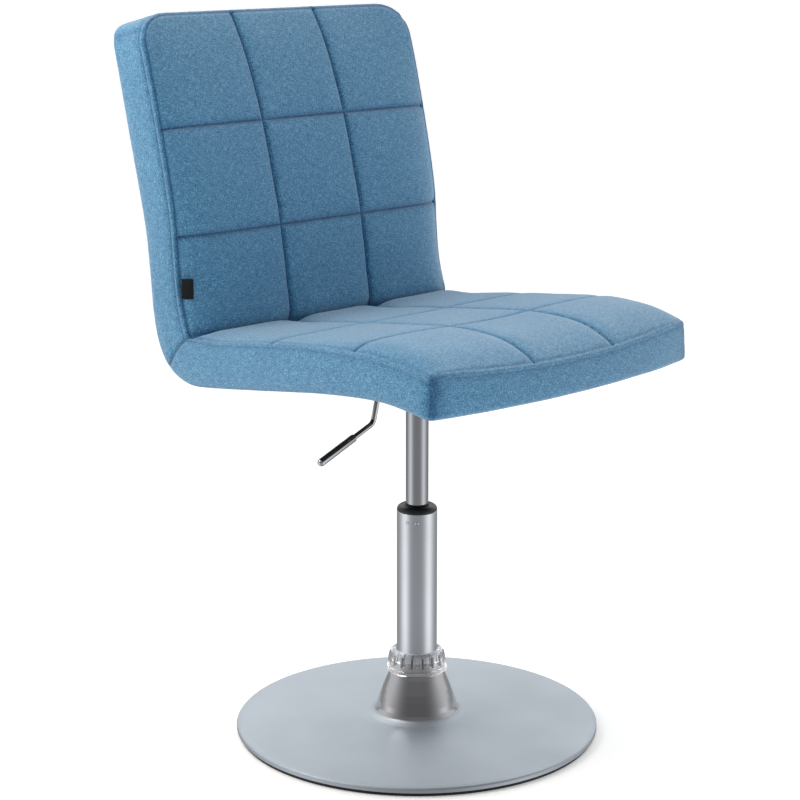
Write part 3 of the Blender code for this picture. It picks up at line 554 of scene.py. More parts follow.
cyl_lo, cyl_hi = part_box("gas_cylinder")
cyl = revolve("gas_cylinder_skin",
              fillet([(0.0036, cyl_hi.z, 0.0), (0.0123, cyl_hi.z, 0.0008), (0.0131, cyl_hi.z - 0.001, 0.001),
                      (0.0140, 0.4040, 0.01), (0.0140, cyl_lo.z, 0.0010), (0.0078, cyl_lo.z, 0.0),
                      (0.0078, cyl_lo.z + 0.0015, 0.0), (0.0115, cyl_lo.z + 0.0015, 0.0), (0.0115, 0.4180, 0.0),
                      (0.0090, 0.4240, 0.0), (0.0036, 0.4240, 0.0)]), 96, M_ROD)
stands_for(cyl, "seat", "satin_chrome", "gas_cylinder")


# ------------------------------------------------------------------ collar
def collar():
    """Clear snap ring: a flanged cone with fingers, slots and ribs round it."""
    prof = fillet([(0.0259, 0.1030, 0.0004), (0.0290, 0.1030, 0.0010), (0.0322, 0.1008, 0.0012),
                   (0.0330, 0.0960, 0.002), (0.0347, 0.0840, 0.001), (0.0350, 0.0822, 0.0008),
                   (0.0372, 0.0812, 0.0008), (0.0375, 0.0772, 0.0012), (0.0358, 0.0756, 0.0006),
                   (0.0334, 0.0756, 0.0004), (0.0313, 0.0812, 0.001), (0.0285, 0.0888, 0.0006),
                   (0.0259, 0.0900, 0.0004)])
    body = revolve("collar_ring_skin", prof, 120, M_CLEAR)
    cutters = []
    bm = bmesh.new()
    fingers = 12
    for k in range(fingers):
        a = 2 * math.pi * (k + 0.5) / fingers
        m = Matrix.Rotation(a, 4, 'Z') @ Matrix.Translation((0.0345, 0, 0.0930)) \
            @ Matrix.Rotation(math.radians(-8), 4, 'Y')
        g = bmesh.ops.create_cube(bm, size=1.0)
        bmesh.ops.scale(bm, verts=g["verts"], vec=(0.0064, 0.0026, 0.0120))
        bmesh.ops.transform(bm, verts=g["verts"], matrix=m)
    me = bpy.data.meshes.new("slot_tool")
    bm.to_mesh(me)
    bm.free()
    tool = link(bpy.data.objects.new("slot_tool", me))
    bev = tool.modifiers.new("round", 'BEVEL')
    bev.width = 0.0010
    bev.segments = 3
    cut = body.modifiers.new("slots", 'BOOLEAN')
    cut.operation = 'DIFFERENCE'
    cut.solver = 'EXACT'
    cut.object = tool
    dg = bpy.context.evaluated_depsgraph_get()
    new = bpy.data.meshes.new_from_object(body.evaluated_get(dg))
    body.modifiers.clear()
    body.data = new
    bpy.data.objects.remove(tool)
    new.shade_smooth()
    new.set_sharp_from_angle(angle=math.radians(35))
    ribs = []
    for k in range(fingers * 2):
        a = 2 * math.pi * k / (fingers * 2) + math.radians(7.5)
        ribs.append(a)
    bm = bmesh.new()
    for a in ribs:
        m = Matrix.Rotation(a, 4, 'Z') @ Matrix.Translation((0.0342, 0, 0.0920)) \
            @ Matrix.Rotation(math.radians(-8), 4, 'Y')
        g = bmesh.ops.create_uvsphere(bm, u_segments=10, v_segments=8, radius=1.0)
        bmesh.ops.scale(bm, verts=g["verts"], vec=(0.0013, 0.0009, 0.0078))
        bmesh.ops.transform(bm, verts=g["verts"], matrix=m)
    me = bpy.data.meshes.new("collar_ribs")
    bm.to_mesh(me)
    bm.free()
    me.materials.append(M_CLEAR)
    me.shade_smooth()
    rib_ob = link(bpy.data.objects.new("collar_ribs", me))
    return body, rib_ob


ring_ob, rib_ob = collar()
stands_for(ring_ob, "base", "clear_plastic", "collar_ring")
stands_for(rib_ob, "base", "clear_plastic")

# ------------------------------------------------------------------ lever
lev_lo, lev_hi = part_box("lever_rod")
paddle_z = 0.4520


def lever_line():
    corners = [Vector((-0.0450, paddle_z)), Vector((-0.0630, paddle_z)),
               Vector((-0.0762, 0.4030)), Vector((-0.1340, 0.3812))]
    radius = (0.0080, 0.0110)
    line = [corners[0]]
    for k in (1, 2):
        a = (corners[k - 1] - corners[k]).normalized()
        b = (corners[k + 1] - corners[k]).normalized()
        half = a.angle(b) / 2
        back = radius[k - 1] / math.tan(half)
        p, q = corners[k] + a * back, corners[k] + b * back
        centre = corners[k] + (a + b).normalized() * (radius[k - 1] / math.sin(half))
        for s in range(17):
            v = ((p - centre).lerp(q - centre, s / 16)).normalized() * radius[k - 1]
            line.append(centre + v)
    line.append(corners[-1])
    return line


lline = lever_line()
lever_tube = sweep("lever_tube", [(p.x, 0.0, p.y) for p in lline], 0.0033, 24, M_LEVER)
stands_for(lever_tube, "lever", "bright_chrome")
give(NODES["lever_rod"], M_STEEL)
end_dir = (lline[-1] - lline[-2]).normalized()
g0 = lline[-1] - end_dir * 0.0280
gd = Vector((end_dir.x, 0, end_dir.y))
GR, GL = 0.0048, 0.0620
gp = [(0.0, GL)]
for s in range(1, 13):
    a = math.radians(90 - 7.5 * s)
    gp.append((GR * math.cos(a), GL - GR + GR * math.sin(a)))
gp += [(GR, 0.0012), (GR - 0.0003, 0.0004), (GR - 0.0011, 0.0), (0.0034, 0.0), (0.0034, 0.0290), (0.0, 0.0290)]
grip = revolve("lever_grip_skin", [Vector(p) for p in gp], 48, M_LEVER, closed=False)
grip.data.transform(Matrix.Translation((g0.x, 0, g0.y)) @ gd.to_track_quat('Z', 'Y').to_matrix().to_4x4())
stands_for(grip, "lever", "bright_chrome", "lever_grip")


# ------------------------------------------------------------------ upholstery
def catmull(points, steps):
    """The same smooth line through the points as the CAD solids follow."""
    pts = [Vector(p) for p in points]
    pts = [2 * pts[0] - pts[1]] + pts + [2 * pts[-1] - pts[-2]]
    line = []
    for i in range(1, len(pts) - 2):
        p0, p1, p2, p3 = pts[i - 1], pts[i], pts[i + 1], pts[i + 2]
        for s in range(steps):
            t = s / steps
            line.append(0.5 * ((2 * p1) + (p2 - p0) * t
                               + (2 * p0 - 5 * p1 + 4 * p2 - p3) * t * t
                               + (3 * p1 - p0 - 3 * p2 + p3) * t ** 3))
    line.append(pts[-2])
    return line


class Profile:
    def __init__(self, line):
        self.p = np.array([tuple(q) for q in line])
        self.s = np.r_[0.0, np.cumsum(np.linalg.norm(np.diff(self.p, axis=0), axis=1))]
        self.length = float(self.s[-1])

    def at(self, s):
        s = np.asarray(s, dtype=float)
        y = np.interp(s, self.s, self.p[:, 0])
        z = np.interp(s, self.s, self.p[:, 1])
        a, b = self.p[0] - self.p[1], self.p[-1] - self.p[-2]
        a, b = a / np.linalg.norm(a), b / np.linalg.norm(b)
        under, over = np.minimum(s, 0.0), np.maximum(s - self.length, 0.0)
        return y - a[0] * under + b[0] * over, z - a[1] * under + b[1] * over

    def nearest(self, yz):
        k = int(np.argmin(np.linalg.norm(self.p - np.array(yz), axis=1)))
        return float(self.s[k])


back_line, seat_line = catmull(BACK_FACE, 14), catmull(SEAT_FACE, 14)
FRONT = Profile(back_line + seat_line[1:])
REAR = Profile(catmull(REAR_FACE, 14))
S_CREASE = Profile(back_line).length
S_TOP = 0.0003                        # the top seam lies just below the corner
S_END = FRONT.length - 0.0022
R_CORNER = REAR.nearest((0.1930, 0.4640))
ROWS = [FRONT.nearest((0.2017, 0.7495)), FRONT.nearest((0.1754, 0.6225)), S_CREASE,
        FRONT.nearest((0.0170, 0.5200)), FRONT.nearest((-0.1130, 0.5290))]
SEAM_X = 0.2212                       # the front panels' side seams
SEAM_XR = 0.2246                      # the rear panel's
BOW_R = (0.2225 ** 2 + BOW ** 2) / (2 * BOW)
COLS = [-COL_X, COL_X]


def spread(lo, hi, marks, step):
    """Grid lines that pass through every mark and lie closer beside it."""
    fixed = {round(lo, 7), round(hi, 7)}
    for off in (0.0013, 0.0032, 0.0060):
        fixed |= {round(lo + off, 7), round(hi - off, 7)}
    for m in marks:
        for off in (0.0, -0.0013, 0.0013, -0.0032, 0.0032, -0.0060, 0.0060):
            fixed.add(round(m + off, 7))
    fixed = sorted(fixed)
    out = [fixed[0]]
    for a, b in zip(fixed, fixed[1:]):
        n = max(1, int(round((b - a) / step)))
        out += [a + (b - a) * k / n for k in range(1, n + 1)]
    return np.array(out)


GRID = 0.0052
XS = spread(-SEAM_X, SEAM_X, COLS, GRID)
SS = spread(S_TOP, S_END, ROWS, GRID)
NX, NS = len(XS), len(SS)
gx, gs = np.meshgrid(XS, SS)           # rows are s, columns x


def corner(x, s, s_edge, cx, cs, sign, half=SEAM_X):
    """Rounds a corner square of the panel into a quarter ellipse."""
    a = np.clip((np.abs(x) - (half - cx)) / cx, 0, 1)
    b = np.clip((s - s_edge) * sign / cs + 1.0, 0, 1)
    inside = (a > 0) & (b > 0)
    a2, b2 = a * np.sqrt(1 - b * b / 2), b * np.sqrt(1 - a * a / 2)
    x2 = np.sign(x) * (half - cx + a2 * cx)
    s2 = s_edge + sign * (b2 - 1.0) * cs
    return np.where(inside, x2, x), np.where(inside, s2, s)


px, ps = corner(gx, gs, S_TOP, 0.044, 0.038, -1.0)
px, ps = corner(px, ps, S_END, 0.010, 0.008, 1.0)
# the seat's front edge is bowed: the rows draw back towards both corners
bow = BOW_R - np.sqrt(BOW_R ** 2 - px ** 2)
ahead = np.clip((ps - ROWS[4]) / (S_END - ROWS[4]), 0, 1)
ps_front = ps - 0.80 * bow * ahead ** 1.3
fy, fz = FRONT.at(ps_front)
# the stuffing crowns the panels between their seams: more at the bottom of the
# back and along the front of the seat, and the top of the back leans away
CROWN_BACK = [(0.8780, -0.0090), (0.8500, -0.0030), (0.8100, 0.0030), (0.7700, 0.0075), (0.7500, 0.0095),
              (0.7150, 0.0115), (0.6800, 0.0125), (0.6550, 0.0140), (0.6220, 0.0160), (0.5700, 0.0180),
              (0.5350, 0.0165), (0.5100, 0.0130), (0.5060, 0.0120)]
CROWN_SEAT = [(0.1570, 0.0000), (0.1200, 0.0020), (0.0750, 0.0030), (0.0200, 0.0022), (-0.0400, 0.0022),
              (-0.0850, 0.0048), (-0.1150, 0.0075), (-0.1550, 0.0096), (-0.1900, 0.0098), (-0.2150, 0.0078),
              (-0.2350, 0.0042), (-0.2480, 0.0)]


def crown(x, s, y, z):
    """How far the stuffed panel stands off its seam line, and which way."""
    ey, ez = FRONT.at(s + 0.0015)
    by, bz = FRONT.at(s - 0.0015)
    ty, tz = ey - by, ez - bz
    n = np.hypot(ty, tz)
    on_back = s <= S_CREASE
    cb = np.interp(-z, [-p[0] for p in CROWN_BACK], [p[1] for p in CROWN_BACK])
    cs = np.interp(-y, [-p[0] for p in CROWN_SEAT], [p[1] for p in CROWN_SEAT])
    d = np.clip(SEAM_X - np.abs(x), 0, 1)
    eb = 1 - np.exp(-(d / 0.022) ** 1.15)
    eb = np.where(cb < 0, 1 - np.exp(-(d / 0.055) ** 1.6), eb)
    es = 1 - np.exp(-(d / 0.0105) ** 1.1)
    # a shallow bowl: fuller towards the sides, lower along the middle
    bowl = np.interp(np.abs(x), [0, 0.025, 0.069, 0.110, 0.150, 0.200, 0.220], [0.62, 0.66, 0.86, 1.06, 1.14, 1.02, 0.88])
    cs = cs * (bowl + (1 - bowl) * np.clip((-y - 0.16) / 0.05, 0, 1) * 0.6)
    dy = np.where(on_back, cb * eb * tz / n, cs * es * tz / n)
    dz = np.where(on_back, np.where(cb < 0, 0.0, -cb * eb * ty / n), -cs * es * ty / n)
    # the side seams swing back a little round the lower back
    dy = dy + 0.0040 * np.exp(-((s - 0.335) / 0.070) ** 2) * np.exp(-(d / 0.030)) * on_back
    # the crease itself is pushed forward by the full lower back
    t = np.clip(s - S_CREASE, 0, 1)
    dy = np.where(on_back, dy, dy - 0.0120 * eb * np.exp(-t / 0.015))
    # the front seam hangs a little lower between its corners
    dz = dz - 0.0034 * np.exp(-(S_END - s) / 0.016) * (1 - (np.abs(x) / SEAM_X) ** 4) * ~on_back
    near = np.exp(-np.abs(s - S_CREASE) / 0.004)
    dz = dz * (1 - near * on_back)
    return dy, dz


cy, cz = crown(px, ps_front, fy, fz)
fy, fz = fy + cy, fz + cz
front_v = np.stack([px, fy, fz], axis=-1)

# rear face: the same grid, row for row, with its own tighter top corners
qx, qs = corner(gx * (SEAM_XR / SEAM_X), gs, S_TOP, 0.019, 0.017, -1.0, SEAM_XR)
qx, qs = corner(qx, qs, S_END, 0.009, 0.007, 1.0, SEAM_XR)
bow_r = BOW_R - np.sqrt(BOW_R ** 2 - qx ** 2)
ahead_r = np.clip((qs - ROWS[4]) / (S_END - ROWS[4]), 0, 1)
rs = np.where(qs <= S_CREASE, 0.0008 + (qs - S_TOP) / (S_CREASE - S_TOP) * (R_CORNER - 0.0008),
              R_CORNER + (qs - S_CREASE) / (S_END - S_CREASE) * (REAR.length - 0.0010 - R_CORNER))
rs = rs - bow_r * ahead_r ** 1.3
ry, rz = REAR.at(rs)
rear_v = np.stack([qx, ry, rz], axis=-1)

# the ring of grid points round the panel, in order
ring = [(0, i) for i in range(NX)] + [(j, NX - 1) for j in range(1, NS)] \
    + [(NS - 1, i) for i in range(NX - 2, -1, -1)] + [(j, 0) for j in range(NS - 2, 0, -1)]
NR = len(ring)
ring_f = np.array([front_v[j, i] for j, i in ring])
ring_r = np.array([rear_v[j, i] for j, i in ring])
ring_s = np.array([ps[j, i] for j, i in ring])
ring_x = np.array([px[j, i] for j, i in ring])
ring_gs = np.array([gs[j, i] for j, i in ring])
ring_gx = np.array([gx[j, i] for j, i in ring])
ring_len = np.r_[0.0, np.cumsum(np.linalg.norm(np.diff(ring_f, axis=0), axis=1))]
wide = np.linalg.norm(ring_r - ring_f, axis=1)
STITCH_D = 0.0074                     # topstitching, from the seam
near = [0.0014, 0.0032, 0.0052, STITCH_D - 0.0012, STITCH_D, STITCH_D + 0.0014]
far_ = [0.0062, 0.0032, 0.0014]
NMID = 6
step_d = []
for d in near:
    step_d.append(np.full(NR, d))
for k in range(1, NMID + 1):
    lo_, hi_ = near[-1], wide - far_[0]
    step_d.append(lo_ + (hi_ - lo_) * k / (NMID + 1))
for d in far_:
    step_d.append(wide - d)
step_d = np.array(step_d)             # (rows across the border, ring)
NT = len(step_d)
near_row = near.index(STITCH_D)

across = (ring_r - ring_f) / wide[:, None]
along = np.roll(ring_f, -1, axis=0) - np.roll(ring_f, 1, axis=0) \
    + np.roll(ring_r, -1, axis=0) - np.roll(ring_r, 1, axis=0)
along /= np.linalg.norm(along, axis=1)[:, None]
outw = np.cross(along, across)
outw /= np.linalg.norm(outw, axis=1)[:, None]
centre = front_v.reshape(-1, 3).mean(axis=0)
side_ring = np.abs(ring_gx) > SEAM_X - 1e-6
flip = np.sign(np.sum(outw * np.where(side_ring[:, None], np.sign(ring_gx)[:, None] * np.array([1.0, 0, 0]),
                                      np.where((ring_gs < 0.1)[:, None], np.array([0, 0, 1.0]),
                                               np.array([0, -1.0, 0]))), axis=1))
outw *= flip[:, None]
# smooth the outward direction round the corners
for _ in range(2):
    outw = np.roll(outw, 1, axis=0) + 2 * outw + np.roll(outw, -1, axis=0)
    outw /= np.linalg.norm(outw, axis=1)[:, None]

# the edge rolls over from the front panel to the border
front_edge = (ring_gs > S_CREASE) | False
round_f = np.where(ring_gs > S_CREASE + 0.05, 0.0050, 0.0042)
proud = np.where(ring_gs > S_END - 1e-6, 0.0036, 0.0042)
proud = np.where(ring_gs < S_TOP + 1e-6, 0.0040, proud)
border_v = []
for row, d in enumerate(step_d):
    t = d / wide
    base = ring_f + across * d[:, None]
    # the side border's cross seam at the crease swings rearwards
    swing = 0.0046 * 4 * t * (1 - t) * np.exp(-((ring_gs - S_CREASE) / 0.055) ** 2) * side_ring
    base = base + swing[:, None] * np.array([0.0, 0.64, 0.77])
    qf = np.clip(d / 0.0078, 0, 1)
    qr = np.clip((wide - d) / 0.0045, 0, 1)
    lean = 1.0 - t
    lift = (proud * lean + 0.0040 * t) * np.sqrt(1 - (1 - qf) ** 2) * np.sqrt(1 - (1 - qr) ** 2)
    border_v.append(base + outw * lift[:, None])
border_v = np.array(border_v)

# ------------------------------------------------------------------ one mesh
nf = NX * NS
idx_f = np.arange(nf).reshape(NS, NX)
idx_r = nf + np.arange(nf).reshape(NS, NX)
idx_b = 2 * nf + np.arange(NT * NR).reshape(NT, NR)
all_v = np.concatenate([front_v.reshape(-1, 3), rear_v.reshape(-1, 3), border_v.reshape(-1, 3)])

quads, piece_of, quad_uv = [], [], []
P_BACK, P_SEAT, P_TOP, P_RIGHT, P_LEFT, P_FRONT, P_REAR, P_UNDER, P_NONE = range(9)
for j in range(NS - 1):
    for i in range(NX - 1):
        quads.append((idx_f[j, i], idx_f[j + 1, i], idx_f[j + 1, i + 1], idx_f[j, i + 1]))
        piece_of.append(P_BACK if SS[j] < S_CREASE - 1e-6 else P_SEAT)
        quad_uv.append([(px[a], ps[a]) for a in ((j, i), (j + 1, i), (j + 1, i + 1), (j, i + 1))])
for j in range(NS - 1):
    for i in range(NX - 1):
        quads.append((idx_r[j, i], idx_r[j, i + 1], idx_r[j + 1, i + 1], idx_r[j + 1, i]))
        ym, zm = (ry[j, i] + ry[j + 1, i + 1]) / 2, (rz[j, i] + rz[j + 1, i + 1]) / 2
        xm = abs(qx[j, i] + qx[j + 1, i + 1]) / 2
        if ym > 0.150 or zm > 0.55:
            piece_of.append(P_REAR)
        elif xm < 0.188 and -0.205 < ym < 0.146:
            piece_of.append(P_NONE)
        else:
            piece_of.append(P_UNDER)
        quad_uv.append([(qx[a] + 0.7, rs[a]) for a in ((j, i), (j, i + 1), (j + 1, i + 1), (j + 1, i))])
cols_b = [idx_f.reshape(-1)[[j * NX + i for j, i in ring]]] + [idx_b[k] for k in range(NT)] \
    + [idx_r.reshape(-1)[[j * NX + i for j, i in ring]]]
dist_b = [np.zeros(NR)] + list(step_d) + [wide]
CROSS_S = S_TOP + 0.0125              # the top border's cross seams, down the sides
for k in range(len(cols_b) - 1):
    for m in range(NR):
        n = (m + 1) % NR
        quads.append((cols_b[k][m], cols_b[k][n], cols_b[k + 1][n], cols_b[k + 1][m]))
        u0, u1 = ring_len[m], (ring_len[n] if n else ring_len[-1] + GRID)
        quad_uv.append([(u0, 1.5 + dist_b[k][m]), (u1, 1.5 + dist_b[k][n]),
                        (u1, 1.5 + dist_b[k + 1][n]), (u0, 1.5 + dist_b[k + 1][m])])
        sm = (ring_gs[m] + ring_gs[n]) / 2
        xm = (ring_gx[m] + ring_gx[n]) / 2
        if sm < CROSS_S:
            piece_of.append(P_TOP)
        elif sm > S_END - 1e-4:
            piece_of.append(P_FRONT)
        else:
            piece_of.append(P_LEFT if xm > 0 else P_RIGHT)
quads = np.array(quads)
piece_of = np.array(piece_of)
quad_uv = np.array(quad_uv)

# ------------------------------------------------------------------ distances
vx = np.concatenate([gx.reshape(-1), gx.reshape(-1), np.tile(ring_gx, NT)])
vs = np.concatenate([gs.reshape(-1), gs.reshape(-1), np.tile(ring_gs, NT)])
is_front = np.zeros(len(all_v), bool)
is_front[:nf] = True
is_rear = np.zeros(len(all_v), bool)
is_rear[nf:2 * nf] = True
is_border = ~(is_front | is_rear)
d_col = np.min([np.abs(vx - c) for c in COLS], axis=0)
d_row = np.min([np.abs(vs - c) for c in (ROWS[0], ROWS[1], ROWS[3], ROWS[4])], axis=0)
d_crease = np.abs(vs - S_CREASE)
d_edge = np.minimum(np.minimum(SEAM_X - np.abs(vx), vs - S_TOP), S_END - vs)


def vertex_normals(v, q):
    a, b, c, d = (v[q[:, k]] for k in range(4))
    n = np.cross(c - a, d - b)
    out = np.zeros_like(v)
    for k in range(4):
        np.add.at(out, q[:, k], n)
    return out / np.maximum(np.linalg.norm(out, axis=1), 1e-12)[:, None]


n0 = vertex_normals(all_v, quads)
if np.sum(n0[idx_f[NS // 4, NX // 2]] * np.array([0, -1.0, 0])) < 0:
    quads = quads[:, ::-1]
    quad_uv = quad_uv[:, ::-1]
    n0 = vertex_normals(all_v, quads)

# a little fullness to start from
cell = np.minimum(np.minimum(d_col, d_row), np.minimum(d_crease, d_edge))
start = np.where(is_front, 0.0012 * np.clip(cell / 0.02, 0, 1), 0.0)
mid_b = np.zeros(len(all_v))
mid_b[2 * nf:] = (np.minimum(step_d, wide[None, :] - step_d) / (wide[None, :] / 2)).reshape(-1)
start = np.where(is_border, 0.0006 * np.clip(mid_b * 2, 0, 1), start)
sim_v = all_v + n0 * start[:, None]

pinned = np.zeros(len(all_v), bool)
pinned |= is_front & ((cell < 1e-5))
pinned |= is_rear
cross_cols = np.zeros(NR, bool)
for s_here in (S_CREASE,):
    cross_cols |= side_ring & (np.abs(ring_gs - s_here) < 1e-5)
cross_cols |= side_ring & (np.abs(ring_gs - CROSS_S) < GRID * 0.6)
cross_cols |= (np.abs(ring_gs - S_END) < 1e-6) & side_ring
border_pin = np.zeros((NT, NR), bool)
border_pin[:, cross_cols] = True
border_pin[near_row, :] = True
border_pin[:near_row, :] = True
pinned[2 * nf:] |= border_pin.reshape(-1)


def inflate(verts, faces, pin, frames=20, pressure=4.0):
    """Swells the cover with Blender's cloth solver; seams are held."""
    me = bpy.data.meshes.new("swell")
    me.from_pydata(verts.tolist(), [], faces.tolist())
    me.update()
    ob = link(bpy.data.objects.new("swell", me))
    group = ob.vertex_groups.new(name="held")
    group.add([int(i) for i in np.nonzero(pin)[0]], 1.0, 'REPLACE')
    cloth = ob.modifiers.new("cloth", 'CLOTH')
    st = cloth.settings
    st.quality = 5
    st.mass = 0.25
    st.air_damping = 1.0
    st.tension_stiffness = 25.0
    st.compression_stiffness = 12.0
    st.shear_stiffness = 8.0
    st.bending_stiffness = 0.4
    st.use_pressure = True
    st.uniform_pressure_force = pressure
    st.vertex_group_mass = "held"
    st.effector_weights.gravity = 0.0
    cloth.collision_settings.use_collision = False
    cloth.collision_settings.use_self_collision = False
    cloth.point_cache.frame_start = 1
    cloth.point_cache.frame_end = frames
    sc = bpy.context.scene
    for f in range(1, frames + 1):
        sc.frame_set(f)
    dg = bpy.context.evaluated_depsgraph_get()
    got = ob.evaluated_get(dg).to_mesh()
    out = np.zeros(len(got.vertices) * 3)
    got.vertices.foreach_get("co", out)
    ob.evaluated_get(dg).to_mesh_clear()
    bpy.data.objects.remove(ob)
    bpy.data.meshes.remove(me)
    sc.frame_set(1)
    return out.reshape(-1, 3)


swollen = inflate(sim_v, quads, pinned)
moved = swollen - all_v
size = np.maximum(np.linalg.norm(moved, axis=1), 1e-9)
cap = np.where(is_front & (vs < S_CREASE), 0.0040, 0.0034)
cap = np.where(is_border, 0.0020, cap)
cap = np.where(is_rear, 0.0010, cap)
final_v = all_v + moved * (cap * np.tanh(size / cap) / size)[:, None]
print("swell mm: mean %.2f max %.2f" % (1000 * size[is_front].mean(), 1000 * size.max()))

# ------------------------------------------------------------------ seams
nrm = vertex_normals(final_v, quads)


def rough(seed, scale, pts):
    off = Vector((seed * 7.31, seed * 3.17, seed * 5.93))
    return np.array([noise.noise(Vector(p) * scale + off) for p in pts])


wander = rough(1, 22.0, final_v)
fine = rough(2, 85.0, final_v)
quilt = np.minimum(d_col, d_row)
in_seat = is_front & (vs > S_CREASE)
push = np.zeros(len(final_v))
# sewn quilt lines: a tight narrow ditch
depth = np.where(in_seat, 0.0024, 0.0034) * (1 + 0.25 * wander)
push -= np.where(is_front, depth * np.exp(-(quilt / 0.0019) ** 2), 0.0)
push -= np.where(is_front, 0.0009 * np.exp(-(quilt / 0.0070) ** 2), 0.0)
# the crease between back and seat is pulled in, most at the quilt lines
push -= np.where(is_front, (0.0020 + 0.0030 * np.exp(-(d_col / 0.016) ** 2))
                 * np.exp(-(d_crease / 0.006) ** 2), 0.0)
# edge seam of both panels
seam_dip = np.where(vs > S_CREASE + 0.03, 0.0008, 0.0013) + 0.0003 * wander
push -= np.where(is_front, seam_dip * np.exp(-(d_edge / 0.0017) ** 2), 0.0)
b_d = np.full(len(final_v), 9.0)
b_d[2 * nf:] = step_d.reshape(-1)
b_r = np.full(len(final_v), 9.0)
b_r[2 * nf:] = (wide[None, :] - step_d).reshape(-1)
push -= np.where(is_border, seam_dip * np.exp(-(b_d / 0.0017) ** 2), 0.0)
push += np.where(is_border, 0.0005 * np.exp(-((b_d - 0.0042) / 0.0018) ** 2), 0.0)
# topstitching pulls a small valley, with puckers between its stitches
PITCH = 0.0046
ring_at = np.tile(ring_len, NT)
along_b = np.concatenate([np.zeros(2 * nf), ring_at])
pucker = np.where(is_border, np.cos(2 * math.pi * along_b / (PITCH * 2.9)), 0.0)
push -= np.where(is_border, (np.where(vs > S_CREASE + 0.03, 0.0008, 0.0012) + 0.0002 * pucker) * np.exp(-((b_d - STITCH_D) / 0.0016) ** 2), 0.0)
push += np.where(is_border, 0.00022 * pucker * np.exp(-((b_d - 0.0040) / 0.0026) ** 2), 0.0)
push -= np.where(is_border, 0.0009 * np.exp(-(b_r / 0.0021) ** 2), 0.0)
# cross seams of the border strips
dc = np.minimum(np.abs(ring_gs - S_CREASE), np.minimum(np.abs(ring_gs - CROSS_S), np.abs(ring_gs - S_END)))
dc = np.where(side_ring, dc, 9.0)
dc = np.where((~side_ring) & (ring_gs > S_END - 1e-5), np.minimum(dc, SEAM_X - np.abs(ring_gx)), dc)
dcb = np.concatenate([np.full(2 * nf, 9.0), np.tile(dc, NT)])
push -= np.where(is_border, 0.0018 * np.exp(-(dcb / 0.0026) ** 2), 0.0)
# the cells on both sides of the crease bulge over it between the quilt lines
from_edge = np.clip((SEAM_X - np.abs(vx)) / 0.030, 0, 1)
between = (1 - np.exp(-(d_col / 0.020) ** 2)) * (0.25 + 0.75 * from_edge)
roll = (d_crease / 0.012) * np.exp(1 - d_crease / 0.012)
push += np.where(in_seat, 0.0045 * between * roll, 0.0)
push += np.where(is_front & ~in_seat, 0.0018 * between * roll, 0.0)
# soft unevenness of foam and cloth
push += np.where(is_front, 0.00045 * wander * np.clip(cell / 0.02, 0, 1)
                 + 0.00012 * fine * np.clip(cell / 0.012, 0, 1), 0.0)
push += np.where(is_border, 0.0004 * wander * np.clip(mid_b, 0, 1) + 0.0001 * fine, 0.0)
push += np.where(is_rear, 0.0005 * wander, 0.0)
final_v = final_v + nrm * push[:, None]

# painted shade: how deep a point lies in a seam, for the material, which darkens the cloth there as shade
painted_seam_shade = np.zeros(len(final_v))
painted_seam_shade = np.maximum(painted_seam_shade, np.where(is_front, np.exp(-(quilt / 0.0016) ** 2) * np.where(in_seat, 0.75, 1.0), 0))
painted_seam_shade = np.maximum(painted_seam_shade, np.where(is_front, 0.45 * np.exp(-(quilt / 0.0042) ** 2) * np.where(in_seat, 0.4, 1.0), 0))
soft_seam = np.where(vs > S_CREASE + 0.02, 0.38, 1.0)
painted_seam_shade = np.maximum(painted_seam_shade, np.where(is_front, soft_seam * np.exp(-(d_edge / 0.0014) ** 2), 0))
painted_seam_shade = np.maximum(painted_seam_shade, np.where(is_front, np.exp(-(d_crease / 0.0030) ** 2), 0))
painted_seam_shade = np.maximum(painted_seam_shade, np.where(is_border, soft_seam * np.exp(-(b_d / 0.0014) ** 2), 0))
painted_seam_shade = np.maximum(painted_seam_shade, np.where(is_border, 0.90 * soft_seam * np.exp(-((b_d - STITCH_D) / 0.0012) ** 2), 0))
painted_seam_shade = np.maximum(painted_seam_shade, np.where(is_border, 0.9 * np.exp(-(b_r / 0.0015) ** 2), 0))
painted_seam_shade = np.maximum(painted_seam_shade, np.where(is_border, 0.9 * np.exp(-(dcb / 0.0016) ** 2), 0))
# painted shade: the front border is darkened up to about 14 mm from both front corner seams, as the shade of the
# fold there
fold = np.concatenate([np.full(2 * nf, 9.0), np.tile(np.where((ring_gs > S_END - 1e-5), SEAM_X - np.abs(ring_gx), 9.0), NT)])
painted_seam_shade = np.maximum(painted_seam_shade, np.where(is_border, 0.80 * np.exp(-(fold / 0.0140) ** 2), 0))

# ------------------------------------------------------------------ to pieces
full_me = bpy.data.meshes.new("cover")
full_me.from_pydata(final_v.tolist(), [], quads.tolist())
full_me.update()
uvl = full_me.uv_layers.new(name="cloth")
uvl.data.foreach_set("uv", quad_uv.reshape(-1))
seam_shade_layer = full_me.attributes.new("seam_shade", 'FLOAT', 'POINT')
seam_shade_layer.data.foreach_set("value", painted_seam_shade.astype(np.float32))
full_me.polygons.foreach_set("material_index", piece_of.astype(np.int32))
for _ in range(9):
    full_me.materials.append(M_FABRIC)
cover = link(bpy.data.objects.new("cover", full_me))
sub = cover.modifiers.new("smooth", 'SUBSURF')
sub.levels = sub.render_levels = 1
dg = bpy.context.evaluated_depsgraph_get()
dense = bpy.data.meshes.new_from_object(cover.evaluated_get(dg))
nv, npoly = len(dense.vertices), len(dense.polygons)
dv = np.zeros(nv * 3)
dense.vertices.foreach_get("co", dv)
dv = dv.reshape(-1, 3)
dl = np.zeros(npoly * 4, dtype=np.int32)
dense.loops.foreach_get("vertex_index", dl)
dl = dl.reshape(-1, 4)
dm = np.zeros(npoly, dtype=np.int32)
